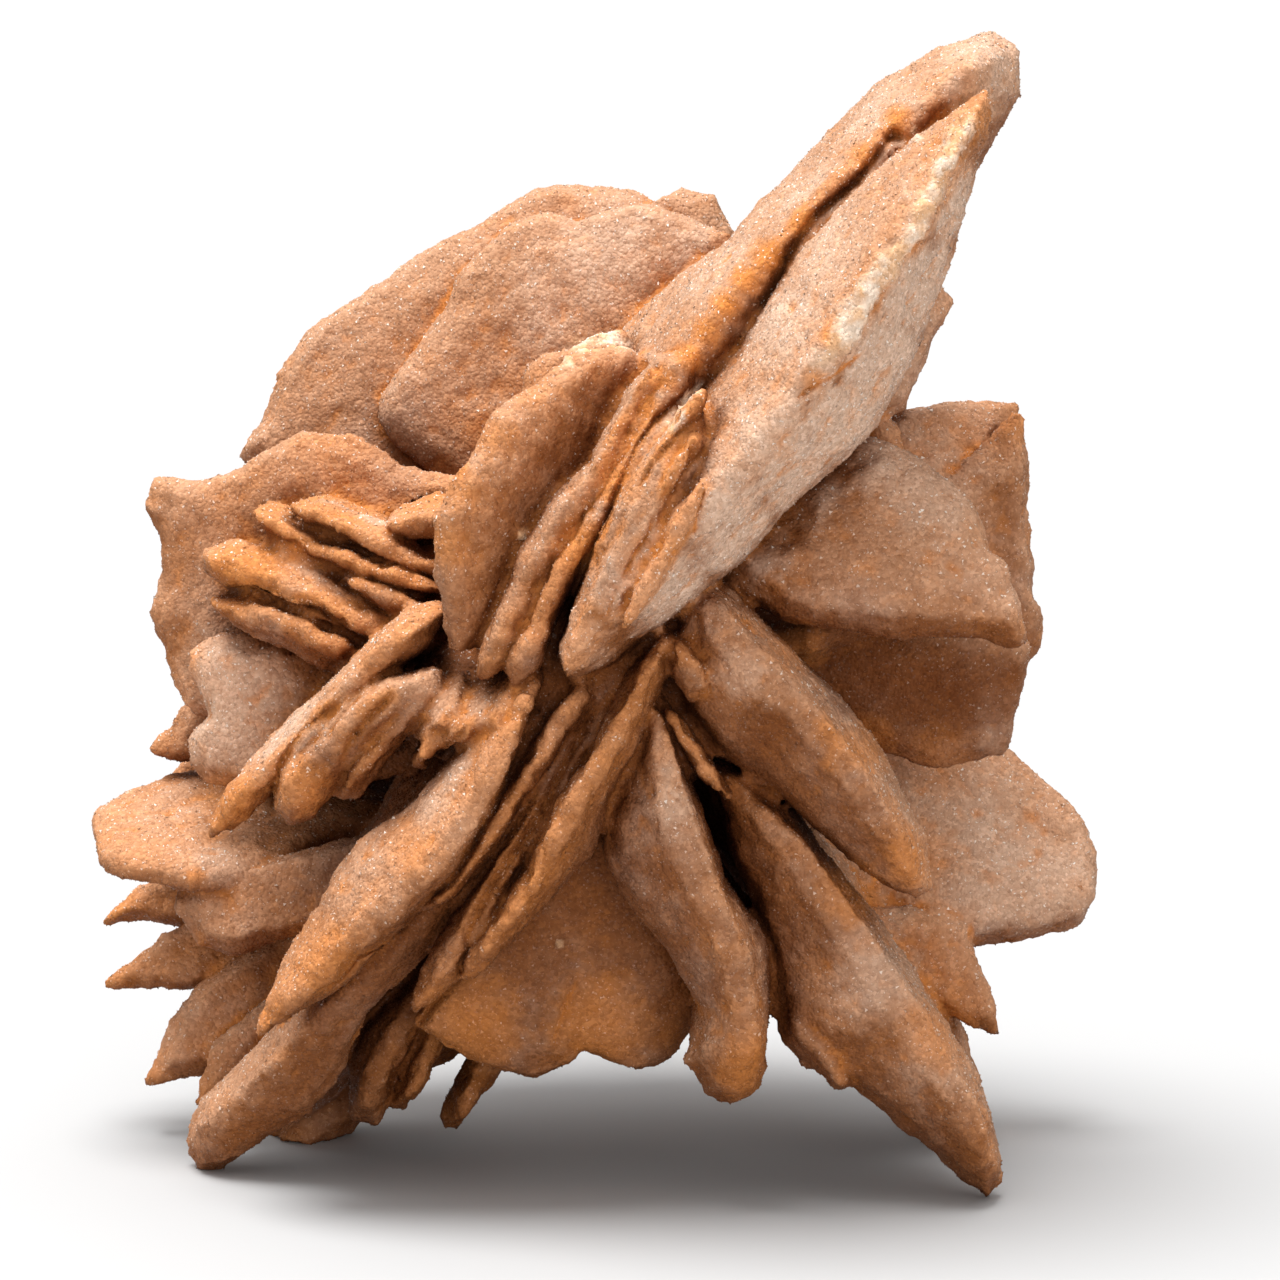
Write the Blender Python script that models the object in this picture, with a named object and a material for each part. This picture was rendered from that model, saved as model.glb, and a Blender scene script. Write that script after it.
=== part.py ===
# Gypsum sand rose: one cluster of lens-shaped blades that grew through each other.
# Metres, +Z up, standing on its blade tips, front towards -Y.
import math
import random

import bmesh
import bpy
from mathutils import Vector

MM = 0.001

# Driving dimensions, in millimetres
RIM = 0.8             # the blunt edge that runs round every plate
SMALL_BLADE = 1.8     # a small blade across its middle
CORE = (9.0, 8.0, 12.5)  # half the size of the closed middle, where the blades grow together
MIDDLE = (1.5, 1.5, 26.0)
HUBS = (                 # lumps between the near ends of the blades: half sizes, middle
    ((7.0, 6.4, 7.4), (0.6, -7.0, 25.4)),
    ((4.2, 5.4, 3.2), (-5.2, -6.6, 24.4)),
)

# The front view in which the outlines are given: how far off it is, how many degrees
# above the level it looks from, and the point that it looks at
SIGHT_DISTANCE = 350.0
SIGHT_RISE = math.radians(9.0)
SIGHT_POINT = Vector((2.5, 0.0, 26.5))
SIGHT_HEIGHT = 26.25

SMALL_POINTS = 10     # corners on the outline of a small blade
BACK_POINTS = 12      # corners on the outline of a blade at the back
SEED = 41
KEEP = 0.605          # share of the triangles left after the smallest facets are merged

# Moves the rose so that the middle of its outline is over the origin
SHIFT = (-0.23, -1.59, 0.0)

NAME = "sand_rose"

# How a blade closes from its belly to its front and back edges, and a plate over its two
# faces: (share of the way, share of the width) for each ring
KEEN = (((0.35, 0.84), (0.74, 0.45), (1.0, 0.11)), ((0.5, 0.78), (1.0, 0.18)))
PLAIN = (((0.5, 0.78), (1.0, 0.24)), ((1.0, 0.16),))
BLUNT = (((0.6, 0.84), (1.0, 0.42)), ((1.0, 0.2),))
SLIM = (((1.0, 0.36),), ((1.0, 0.16),))
BROAD_FACE = (((0.62, 0.90), (1.0, 0.58)), ((1.0, 0.72),))
BOTH_FACES = (((0.62, 0.90), (1.0, 0.58)), ((0.62, 0.90), (1.0, 0.58)))
THIN_FACE = (((1.0, 0.74),), ((1.0, 0.74),))


def clear_scene():
    for item in list(bpy.data.objects):
        bpy.data.objects.remove(item, do_unlink=True)


def rose_material():
    """Sandy tan gypsum, rough and not metallic."""
    skin = bpy.data.materials.new("sandy_gypsum")
    skin.use_nodes = True
    shader = skin.node_tree.nodes["Principled BSDF"]
    shader.inputs["Base Color"].default_value = (0.47, 0.23, 0.10, 1.0)
    shader.inputs["Roughness"].default_value = 0.85
    shader.inputs["Metallic"].default_value = 0.0
    return skin


def seen(x, h, depth):
    """The point at y = depth that the front view shows x to the right and h up."""
    back = Vector((0.0, -math.cos(SIGHT_RISE), math.sin(SIGHT_RISE)))
    up = Vector((0.0, math.sin(SIGHT_RISE), math.cos(SIGHT_RISE)))
    eye = SIGHT_POINT + back * SIGHT_DISTANCE
    aim = SIGHT_POINT + Vector((x - SIGHT_POINT.x, 0.0, 0.0)) + up * (h - SIGHT_HEIGHT)
    return eye + (aim - eye) * ((depth - eye.y) / (aim.y - eye.y))


def nearest_on_ridge(point, ridge):
    """The place on a line of points that is nearest to the given one."""
    if len(ridge) == 1:
        return ridge[0].copy()
    best = None
    for a, b in zip(ridge, ridge[1:]):
        run = b - a
        t = max(0.0, min(1.0, (point - a).dot(run) / run.length_squared))
        place = a + run * t
        if best is None or (place - point).length < (best - point).length:
            best = place
    return best


def close_side(form, cap, order, rings):
    """Extrudes a cap through a list of rings, each a list of points in outline order."""
    for ring in rings:
        grown = bmesh.ops.extrude_face_region(form, geom=[cap])["geom"]
        bmesh.ops.delete(form, geom=[cap], context="FACES_ONLY")
        cap = next(g for g in grown if isinstance(g, bmesh.types.BMFace))
        for v in cap.verts:
            v.co = ring[v[order]]
    return cap


def solid_from_rings(first, front_rings, back_rings):
    """A closed solid: one ring of points, closed by rings towards both sides."""
    form = bmesh.new()
    order = form.verts.layers.int.new("order")
    loop = []
    for i, point in enumerate(first):
        v = form.verts.new(point)
        v[order] = i
        loop.append(v)
    base = form.faces.new(loop)
    grown = bmesh.ops.extrude_face_region(form, geom=[base], use_keep_orig=True)["geom"]
    front = next(g for g in grown if isinstance(g, bmesh.types.BMFace))
    for v in front.verts:
        v.co = front_rings[0][v[order]]
    close_side(form, front, order, front_rings[1:])
    close_side(form, base, order, back_rings)
    bmesh.ops.recalc_face_normals(form, faces=form.faces)
    bmesh.ops.triangulate(form, faces=form.faces)
    bmesh.ops.scale(form, verts=form.verts, vec=(MM, MM, MM))
    return form


def add_crystal(group, label, form):
    bmesh.ops.translate(form, verts=form.verts, vec=Vector(SHIFT) * MM)
    mesh = bpy.data.meshes.new(label)
    form.to_mesh(mesh)
    form.free()
    item = bpy.data.objects.new(label, mesh)
    item.hide_render = True
    item.display_type = "WIRE"
    group.objects.link(item)


def sloped(depth, slope, middle):
    """A function that gives the depth of a place in the front view."""
    return lambda p: depth + slope[0] * (p.x - middle.x) + slope[1] * (p.y - middle.y)


def edge_blade(group, label, outline, ridge, depth, front, back, slope=(0.0, 0.0),
               lean=(0.0, 0.0), form=SLIM):
    """A blade that shows the viewer its edge.

    outline is its belly and ridge its front edge, both as (x, h) in the front view. depth
    is the y of the belly, front and back how far the two edges lie from it, slope how the
    depth grows with x and h, and lean how far the back edge is shifted in x and z.
    """
    dice = random.Random(f"{SEED}{label}")
    flat = [Vector(p) for p in outline]
    line = [Vector(p) for p in ridge]
    middle = sum(flat, Vector((0.0, 0.0))) / len(flat)
    run = (line[0] - line[-1]).normalized()
    half_length = max(abs((p - middle).dot(run)) for p in flat)
    deep = sloped(depth, slope, middle)
    center = seen(middle.x, middle.y, depth)
    belly = [seen(p.x, p.y, deep(p)) for p in flat]
    edge = []
    hind = []
    for p in flat:
        target = nearest_on_ridge(p, line)
        off = (target - middle).dot(run) / half_length
        bulge = math.sqrt(1.0 - 0.85 * off * off)
        edge.append(seen(target.x, target.y, deep(target) - front * bulge))
        spine = seen(target.x, target.y, deep(target))
        hind.append(center + (spine - center) * 0.7 + Vector((lean[0], back * bulge, lean[1])))

    def ring(ends, way, width):
        points = []
        for b, e in zip(belly, ends):
            shift = dice.uniform(-0.03, 0.03)
            point = e + (b - e) * (width + shift)
            point.y = b.y + (e.y - b.y) * way
            points.append(point)
        return points

    front_rings = [ring(edge, way, width) for way, width in form[0]]
    back_rings = [ring(hind, way, width) for way, width in form[1]]
    add_crystal(group, label, solid_from_rings(belly, front_rings, back_rings))


def plate(group, label, outline, depth, thick, slope=(0.0, 0.0), form=THIN_FACE, rim=RIM):
    """A plate that shows the viewer its face, by its rim as (x, h) in the front view."""
    dice = random.Random(f"{SEED}{label}")
    flat = [Vector(p) for p in outline]
    middle = sum(flat, Vector((0.0, 0.0))) / len(flat)
    deep = sloped(depth, slope, middle)
    corners = [seen(p.x, p.y, deep(p)) for p in flat]
    center = sum(corners, Vector((0.0, 0.0, 0.0))) / len(corners)
    normal = Vector((0.0, 0.0, 0.0))
    for a, b in zip(corners, corners[1:] + corners[:1]):
        normal += (a - center).cross(b - center)
    normal.normalize()
    if normal.y > 0:
        normal.negate()

    def ring(side, way, width):
        lift = rim / 2 + (thick - rim) / 2 * way
        return [
            center + (c - center) * (width + dice.uniform(-0.02, 0.02))
            + normal * side * lift * (1.0 + dice.uniform(-0.04, 0.04))
            for c in corners
        ]

    first = [c - normal * rim / 2 for c in corners]
    front_rings = [[c + normal * rim / 2 for c in corners]]
    front_rings += [ring(1.0, way, width) for way, width in form[0]]
    back_rings = [ring(-1.0, way, width) for way, width in form[1]]
    add_crystal(group, label, solid_from_rings(first, front_rings, back_rings))


def free_blade(group, label, at, rise, recede, roll, half, thick, tip=1.7,
               points=BACK_POINTS, rim=RIM, faces=((0.55, 0.72), (1.0, 0.34))):
    """A blade by its middle (x, y, z), its directions, and its half length and width.

    rise is the angle of its length in the front view, from +X towards +Z. recede turns the
    far end of the length away from the viewer. roll 0 leaves the blade edge on, and 90
    turns its face to the viewer. tip 1 gives a diamond and 2 an ellipse.
    """
    dice = random.Random(f"{SEED}{label}")
    rise, recede, roll = (math.radians(a) for a in (rise, recede, roll))
    length = Vector((
        math.cos(recede) * math.cos(rise),
        math.sin(recede),
        math.cos(recede) * math.sin(rise),
    ))
    away = Vector((0.0, 1.0, 0.0))
    width = (away - away.dot(length) * length).normalized()
    face = length.cross(width)
    width = width * math.cos(roll) + face * math.sin(roll)
    normal = length.cross(width)
    center = Vector(at)
    corners = []
    for i in range(points):
        angle = 2.0 * math.pi * (i + 0.15) / points
        c, s = math.cos(angle), math.sin(angle)
        grow = 1.0 + dice.uniform(-0.06, 0.05)
        along = math.copysign(abs(c) ** (2.0 / tip), c) * half[0] * grow
        across = math.copysign(abs(s) ** (2.0 / tip), s) * half[1] * grow
        corners.append(center + length * along + width * across)

    def ring(side, way, share):
        lift = rim / 2 + (thick - rim) / 2 * way
        return [
            center + (c - center) * (share + dice.uniform(-0.03, 0.03))
            + normal * side * lift * (1.0 + dice.uniform(-0.1, 0.1))
            for c in corners
        ]

    first = [c - normal * rim / 2 for c in corners]
    front_rings = [[c + normal * rim / 2 for c in corners]]
    front_rings += [ring(1.0, way, share) for way, share in faces]
    back_rings = [ring(-1.0, way, share) for way, share in faces]
    add_crystal(group, label, solid_from_rings(first, front_rings, back_rings))


def fan(group, label, first, last, count, half, thick, tip=1.5, spread=0.3):
    """Small blades side by side, from the first (at, rise, recede, roll) to the last."""
    dice = random.Random(f"{SEED}{label}")
    for i in range(count):
        t = i / max(count - 1, 1)
        at = [a + (b - a) * t + dice.uniform(-spread, spread)
              for a, b in zip(first[0], last[0])]
        rise, recede, roll = (a + (b - a) * t for a, b in zip(first[1:], last[1:]))
        size = [h * dice.uniform(0.8, 1.1) for h in half]
        free_blade(group, f"{label}_{i}", at, rise + dice.uniform(-4, 4), recede, roll,
                   size, thick * dice.uniform(0.8, 1.15), tip, SMALL_POINTS, 0.5,
                   ((1.0, 0.6),))


def crossing_blades(group):
    """The long blades that run from top right to bottom left across the front."""
    edge_blade(group, "main", (
        (19.8, 53.7), (20.1, 52.4), (19.5, 49.8), (18.2, 45.6), (16.4, 40.6), (14.2, 36.6),
        (10.6, 33.4), (7.6, 30.2), (4.2, 27.2), (0.6, 24.7), (-1.1, 23.9), (-1.7, 25.5),
        (-0.3, 29.6), (2.2, 34.2), (5.6, 38.7), (7.5, 40.8), (10.0, 45.1), (13.0, 48.4),
        (16.6, 51.6)),
        ((18.9, 52.0), (16.6, 47.9), (13.6, 43.6), (10.2, 38.4), (6.4, 33.6), (2.0, 28.2)),
        -12.0, 7.0, 13.0, (0.0, 0.05), (-1.0, 0.0), KEEN)
    edge_blade(group, "tall", (
        (20.1, 56.8), (21.4, 55.8), (21.4, 53.6), (19.0, 49.0), (12.0, 40.6), (4.6, 32.0),
        (0.6, 30.0), (1.2, 34.0), (2.6, 37.0), (2.4, 40.8), (5.0, 44.2), (8.0, 47.4),
        (10.6, 49.8), (14.4, 54.0), (17.4, 55.9)),
        ((18.6, 54.6), (15.2, 52.0), (11.8, 48.4), (8.3, 44.8), (5.4, 41.2), (3.4, 37.6)),
        -5.0, 6.5, 13.0, (0.0, 0.3), (0.0, 1.0), KEEN)
    edge_blade(group, "outer_rib", (
        (3.5, 40.8), (3.4, 38.4), (1.0, 34.0), (-1.6, 30.4), (-3.2, 27.2), (-4.2, 24.9),
        (-5.4, 24.2), (-5.6, 25.3), (-4.6, 27.9), (-3.5, 30.6), (-1.7, 33.4), (0.1, 35.2),
        (1.7, 38.8)),
        ((2.5, 39.0), (0.9, 35.6), (-1.4, 32.6), (-3.4, 29.2), (-4.7, 26.0)),
        -12.6, 1.9, 10.0, (0.0, 0.1), form=BLUNT)
    edge_blade(group, "inner_rib", (
        (5.4, 41.0), (5.2, 38.2), (3.2, 35.6), (1.6, 33.0), (-0.2, 30.2), (-1.5, 27.6),
        (-2.6, 25.0), (-3.8, 23.7), (-4.3, 25.0), (-3.2, 27.6), (-2.0, 30.3), (-0.3, 32.8),
        (1.3, 35.4), (2.5, 37.8), (3.6, 40.6)),
        ((4.4, 39.4), (2.6, 36.0), (0.5, 32.7), (-1.6, 29.2), (-3.1, 25.6)),
        -12.8, 2.2, 10.0, (0.0, 0.1), form=BLUNT)
    edge_blade(group, "lower_left", (
        (-2.4, 24.4), (-4.3, 23.3), (-5.9, 22.1), (-8.0, 19.4), (-9.4, 17.7), (-11.2, 16.4),
        (-12.6, 14.8), (-13.6, 12.8), (-15.0, 10.8), (-16.2, 8.2), (-16.7, 6.4), (-12.2, 9.1),
        (-9.6, 11.5), (-6.9, 14.3), (-4.4, 17.4), (-3.4, 20.6)),
        ((-3.7, 21.8), (-5.6, 17.6), (-8.6, 14.0), (-12.6, 10.2), (-15.2, 7.9)),
        -11.8, 4.0, 11.0, (-0.12, 0.0), (1.5, 1.0), PLAIN)
    edge_blade(group, "left_foot", (
        (-2.2, 23.2), (-5.5, 18.4), (-9.5, 13.4), (-14.4, 9.0), (-16.5, 6.2), (-18.0, 4.6),
        (-19.4, 3.5), (-20.1, 2.1), (-20.2, 0.7), (-19.6, -0.3), (-18.5, -0.2), (-16.9, 0.9),
        (-14.0, 2.5), (-12.4, 4.6), (-11.0, 7.7), (-7.2, 11.2), (-4.8, 14.8), (-2.4, 20.0)),
        ((-3.6, 20.4), (-5.4, 16.2), (-8.2, 12.8), (-12.4, 8.2), (-16.4, 4.4), (-18.4, 2.4)),
        -6.2, 3.0, 7.0, (-0.62, 0.0), (2.5, 2.5), PLAIN)
    edge_blade(group, "fan_front", (
        (3.8, 27.2), (1.8, 24.4), (-0.3, 20.6), (-2.0, 18.4), (-3.1, 16.4), (-3.3, 15.0),
        (-4.8, 12.8), (-5.9, 11.1), (-6.6, 9.2), (-4.8, 10.2), (-1.7, 13.6), (0.3, 15.8),
        (1.1, 18.2), (2.4, 20.8), (3.9, 24.6)),
        ((3.4, 25.6), (0.0, 19.4), (-1.9, 16.2), (-3.0, 13.8), (-5.2, 11.0)),
        -12.5, 3.6, 9.0, (0.0, -0.05), (-0.5, 1.0), PLAIN)
    edge_blade(group, "fan_rib", (
        (0.2, 25.0), (-3.0, 21.2), (-5.5, 16.8), (-7.4, 14.2), (-8.4, 12.7), (-6.7, 13.4),
        (-4.4, 16.2), (-1.6, 20.2), (0.8, 23.2)),
        ((-0.8, 23.6), (-3.4, 19.4), (-5.4, 16.0), (-7.2, 13.8)), -12.8, 2.2, 7.0)
    edge_blade(group, "fan_low", (
        (1.8, 25.4), (-1.4, 21.6), (-4.0, 17.4), (-6.6, 13.0), (-8.4, 9.6), (-8.9, 7.6),
        (-7.4, 8.6), (-5.0, 11.6), (-2.4, 15.8), (0.6, 20.0), (2.4, 23.0)),
        ((0.6, 23.4), (-2.2, 18.6), (-4.4, 14.4), (-6.8, 10.8)), -12.0, 2.0, 7.0)


def stepped_ribs(group):
    """The bed on the near end of the main blade, and thin ribs on it by their two ends."""
    edge_blade(group, "step_bed", (
        (5.5, 38.5), (3.1, 36.5), (1.5, 33.9), (0.2, 31.0), (-0.9, 28.0), (-1.6, 25.6),
        (-1.2, 24.4), (0.4, 25.4), (2.4, 28.0), (4.4, 31.2), (6.0, 34.4), (6.6, 37.0)),
        ((4.6, 35.8), (2.8, 32.8), (1.0, 29.4), (-0.2, 26.8)), -13.4, 5.0, 8.0, form=BLUNT)
    for label, top, low, half_width, depth in (
        ("step_a", (5.9, 38.9), (0.0, 30.4), 0.55, -16.6),
        ("step_b", (5.4, 36.8), (1.0, 28.6), 0.5, -17.6),
        ("step_c", (5.8, 34.4), (1.6, 26.8), 0.55, -18.3),
        ("step_d", (2.0, 32.0), (-1.2, 24.8), 0.6, -16.8),
    ):
        a, b = Vector(top), Vector(low)
        across = (a - b).orthogonal().normalized() * half_width
        outline = [a, a.lerp(b, 0.25) + across, a.lerp(b, 0.6) + across, b,
                   a.lerp(b, 0.7) - across, a.lerp(b, 0.3) - across]
        edge_blade(group, label, outline, (a.lerp(b, 0.15), a.lerp(b, 0.85)), depth, 1.0, 5.0)


def lower_right_blades(group):
    """Blades that hang from the middle to the bottom and to the right."""
    edge_blade(group, "keel", (
        (2.9, 23.7), (3.8, 22.7), (5.6, 18.1), (6.8, 14.2), (8.1, 12.4), (8.8, 11.0),
        (9.1, 8.8), (9.0, 6.6), (8.9, 4.9), (8.3, 3.7), (7.2, 3.0), (6.0, 3.5), (4.6, 5.2),
        (5.4, 7.8), (3.8, 10.8), (1.6, 13.5), (0.7, 15.4), (0.6, 17.4), (1.9, 21.0)),
        ((3.4, 22.4), (4.6, 18.4), (6.2, 14.0), (7.7, 10.6), (8.0, 6.6)),
        -11.0, 4.0, 9.0, (0.1, -0.05), (-1.0, 2.0), PLAIN)
    edge_blade(group, "thin_rib", (
        (3.5, 23.4), (4.6, 22.4), (6.2, 20.1), (7.2, 18.2), (5.2, 19.6), (3.8, 22.0)),
        ((4.0, 22.8), (6.4, 19.0)), -12.5, 2.2, 6.0)
    edge_blade(group, "right_foot", (
        (6.0, 20.3), (7.5, 20.1), (10.0, 18.2), (11.4, 16.1), (14.4, 12.5), (16.9, 8.4),
        (19.1, 5.1), (20.0, 2.9), (20.5, 0.8), (20.7, -0.8), (19.9, -1.8), (18.5, -0.8),
        (17.2, 0.6), (14.8, 2.6), (12.6, 4.0), (10.5, 4.9), (9.2, 6.4), (8.8, 9.4),
        (8.0, 13.2), (6.6, 16.8)),
        ((7.2, 19.2), (10.6, 16.0), (13.8, 11.8), (17.2, 6.6), (19.4, 2.2)),
        -9.0, 4.2, 8.0, (0.1, 0.0), (-1.0, 1.5), PLAIN)
    edge_blade(group, "right_foot_leaf", (
        (9.6, 7.9), (11.1, 7.4), (12.4, 5.9), (13.1, 3.9), (12.2, 3.7), (9.6, 6.2)),
        ((10.4, 7.0), (12.4, 4.6)), -10.0, 1.6, 5.0)
    edge_blade(group, "right_middle", (
        (4.1, 28.0), (5.0, 29.0), (6.1, 29.4), (7.0, 29.0), (9.9, 26.0), (12.9, 22.8),
        (14.5, 20.8), (15.7, 18.6), (16.7, 16.8), (17.0, 13.9), (16.4, 13.4), (15.3, 13.7),
        (13.6, 14.6), (11.9, 16.2), (9.8, 18.1), (7.8, 19.4), (6.1, 20.6), (4.9, 22.4),
        (4.1, 24.8)),
        ((6.2, 27.9), (9.0, 25.0), (12.0, 21.8), (14.4, 18.4), (15.9, 15.4)),
        -11.5, 4.8, 9.0, (0.12, 0.0), (-0.5, 1.0), PLAIN)
    edge_blade(group, "stub", (
        (3.7, 26.8), (4.8, 26.5), (5.9, 25.2), (6.0, 23.8), (5.0, 23.2), (4.0, 24.6)),
        ((4.5, 25.8), (5.3, 24.4)), -13.4, 2.0, 5.0, form=BLUNT)
    edge_blade(group, "hind_leaf", (
        (12.0, 14.0), (15.4, 11.8), (17.1, 10.1), (18.4, 7.8), (19.1, 5.6), (19.8, 3.2),
        (19.6, 1.4), (18.4, 1.7), (16.0, 4.6), (13.0, 8.6)), ((14.0, 11.0), (18.6, 3.4)),
        5.0, 5.0, 6.0, (0.4, -0.2), (-1.0, 4.0))
    plate(group, "lower_middle", (
        (-8.8, 7.2), (-7.1, 5.9), (-5.1, 5.1), (-3.0, 4.6), (-1.2, 5.3), (-0.4, 5.9),
        (0.8, 5.5), (2.4, 4.9), (3.9, 5.3), (4.9, 6.8), (7.0, 10.6), (4.5, 20.0),
        (-0.5, 22.0), (-3.5, 15.4), (-6.6, 10.4)), -6.0, 2.8, (0.05, -0.22), BROAD_FACE)


def right_plates(group):
    """Plates that fan out at the right."""
    plate(group, "right_roof", (
        (12.6, 36.4), (14.3, 36.2), (16.2, 35.1), (17.9, 33.9), (19.2, 32.7), (19.8, 31.5),
        (20.1, 30.2), (20.9, 29.5), (21.4, 28.1), (21.8, 26.4), (21.5, 25.9), (19.8, 26.3),
        (15.0, 26.5), (9.6, 27.3), (6.0, 29.6), (8.0, 34.0)), -9.0, 4.0, (0.1, 0.55),
        BROAD_FACE)
    plate(group, "right_under", (
        (22.1, 26.0), (21.6, 23.8), (21.1, 22.4), (20.8, 20.8), (19.4, 20.6), (17.3, 20.1),
        (15.9, 20.4), (14.4, 20.9), (11.6, 22.6), (6.0, 26.4), (14.0, 27.8), (20.5, 27.4)),
        -3.0, 3.4, (0.1, -0.3), BROAD_FACE)
    plate(group, "right_back_roof", (
        (13.2, 36.0), (15.4, 37.4), (17.3, 37.9), (19.5, 38.1), (21.3, 37.9), (21.3, 37.0),
        (18.6, 33.9), (15.5, 29.0), (10.0, 29.0)), 6.0, 2.6, (0.1, 0.7))
    plate(group, "right_back", (
        (21.3, 37.6), (21.6, 36.4), (21.8, 34.4), (21.6, 33.4), (22.0, 32.0), (22.0, 30.0),
        (21.9, 28.4), (22.6, 27.3), (22.4, 25.8), (17.0, 22.0), (8.0, 24.0), (12.0, 31.0),
        (18.4, 34.6)), 5.0, 2.6, (0.4, -0.1))
    plate(group, "right_low", (
        (20.8, 20.6), (23.0, 18.6), (24.6, 16.8), (25.1, 15.4), (25.1, 13.4), (24.5, 12.1),
        (22.4, 11.7), (19.1, 11.1), (17.4, 11.7), (14.0, 13.0), (8.0, 17.0), (12.0, 21.5)),
        7.0, 3.6, (0.2, 0.7), BROAD_FACE, 1.6)
    plate(group, "right_claw", (
        (13.4, 13.0), (18.6, 12.6), (19.2, 11.0), (19.9, 8.9), (20.4, 6.6), (18.9, 7.0),
        (17.2, 8.2), (13.0, 10.0)), 3.0, 1.8, (0.3, 0.2))
    plate(group, "behind_main", (
        (17.4, 44.0), (18.0, 43.1), (17.3, 41.6), (16.4, 39.8), (15.6, 37.8), (10.0, 34.0),
        (8.0, 39.0), (13.0, 43.0)), 5.0, 2.4, (0.2, 0.2))


def left_plates(group):
    """Discs and plates that fan out at the left, from the front to the back."""
    plate(group, "left_disc", (
        (2.4, 40.5), (1.5, 40.9), (-0.4, 40.6), (-2.3, 39.1), (-4.6, 37.5), (-5.5, 35.7),
        (-6.6, 34.3), (-7.4, 32.5), (-7.6, 30.4), (-7.4, 28.3), (-6.8, 25.8), (-3.4, 26.0),
        (0.5, 31.5), (3.2, 37.0)), -10.4, 2.4, (0.65, -0.1), BROAD_FACE)
    plate(group, "disc_shelf", (
        (-3.4, 38.4), (-3.1, 39.6), (-2.5, 40.4), (-1.2, 40.6), (0.2, 41.3), (1.4, 41.5),
        (2.4, 40.6), (2.0, 34.0), (-3.0, 34.0)), -6.0, 2.0, (0.2, 0.2))
    plate(group, "back_disc", (
        (-17.5, 35.4), (-16.5, 37.2), (-15.4, 39.6), (-14.0, 41.6), (-11.7, 43.1),
        (-8.6, 45.6), (-6.5, 46.6), (-2.6, 48.6), (-0.9, 48.9), (2.0, 48.7), (3.4, 48.2),
        (4.6, 48.8), (6.3, 48.5), (7.0, 47.0), (9.5, 42.0), (6.0, 32.0), (-4.0, 25.0),
        (-14.0, 30.0)), 14.0, 4.4, (-0.1, 0.3), BOTH_FACES)
    plate(group, "back_disc_layer", (
        (0.4, 47.4), (-0.6, 47.0), (-2.1, 47.5), (-3.9, 46.9), (-5.4, 45.5), (-6.6, 44.5),
        (-7.3, 42.8), (-9.2, 40.0), (-10.4, 38.3), (-10.5, 37.0), (-9.5, 35.9),
        (-6.9, 34.0), (0.0, 30.5), (6.0, 38.0), (7.0, 46.5), (4.5, 47.6), (2.5, 48.0)),
        11.0, 3.4, (-0.1, 0.3), BROAD_FACE)
    plate(group, "left_plate", (
        (-22.2, 33.0), (-21.6, 34.3), (-19.4, 34.2), (-17.6, 34.8), (-16.4, 35.4),
        (-14.4, 36.7), (-11.6, 36.5), (-9.6, 35.0), (-3.0, 33.5), (0.0, 27.0),
        (-9.0, 21.0), (-20.0, 22.6), (-20.7, 24.0), (-21.1, 25.6), (-21.8, 27.5),
        (-21.3, 29.6), (-21.3, 31.0)), 5.6, 2.6, (-0.2, 0.1), BOTH_FACES)
    plate(group, "left_lobe", (
        (-18.4, 26.6), (-20.0, 25.8), (-20.1, 24.7), (-19.4, 23.4), (-19.1, 22.4),
        (-20.0, 21.5), (-19.8, 20.2), (-19.1, 19.3), (-18.2, 18.9), (-13.0, 18.6),
        (-1.0, 22.0), (-3.0, 27.0)), 0.5, 2.6, (-0.22, 0.1))
    plate(group, "back_tooth", (
        (-21.8, 20.8), (-20.4, 22.8), (-12.0, 26.0), (-11.0, 19.0), (-20.6, 20.4)),
        8.0, 1.8, (-0.15, 0.0))
    plate(group, "back_tooth_low", (
        (-21.2, 18.9), (-20.4, 20.2), (-12.0, 23.0), (-12.0, 17.0)), 10.0, 1.8, (-0.2, 0.0))
    plate(group, "shelf", (
        (-24.9, 17.2), (-23.4, 18.0), (-21.2, 19.0), (-15.0, 20.4), (-8.0, 20.4),
        (-9.6, 16.6), (-13.2, 16.0), (-15.3, 14.9), (-17.4, 14.3), (-19.8, 14.1),
        (-22.2, 14.5), (-24.2, 15.0), (-24.7, 16.0)), 4.0, 2.2, (0.0, 2.2), BOTH_FACES, 0.7)
    plate(group, "under_shelf", (
        (-20.6, 12.8), (-20.4, 13.8), (-17.0, 15.0), (-9.0, 17.0), (-6.0, 13.0),
        (-16.1, 11.2), (-17.8, 10.6), (-19.4, 10.9)), -0.5, 2.6, (-0.25, 0.3))


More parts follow.
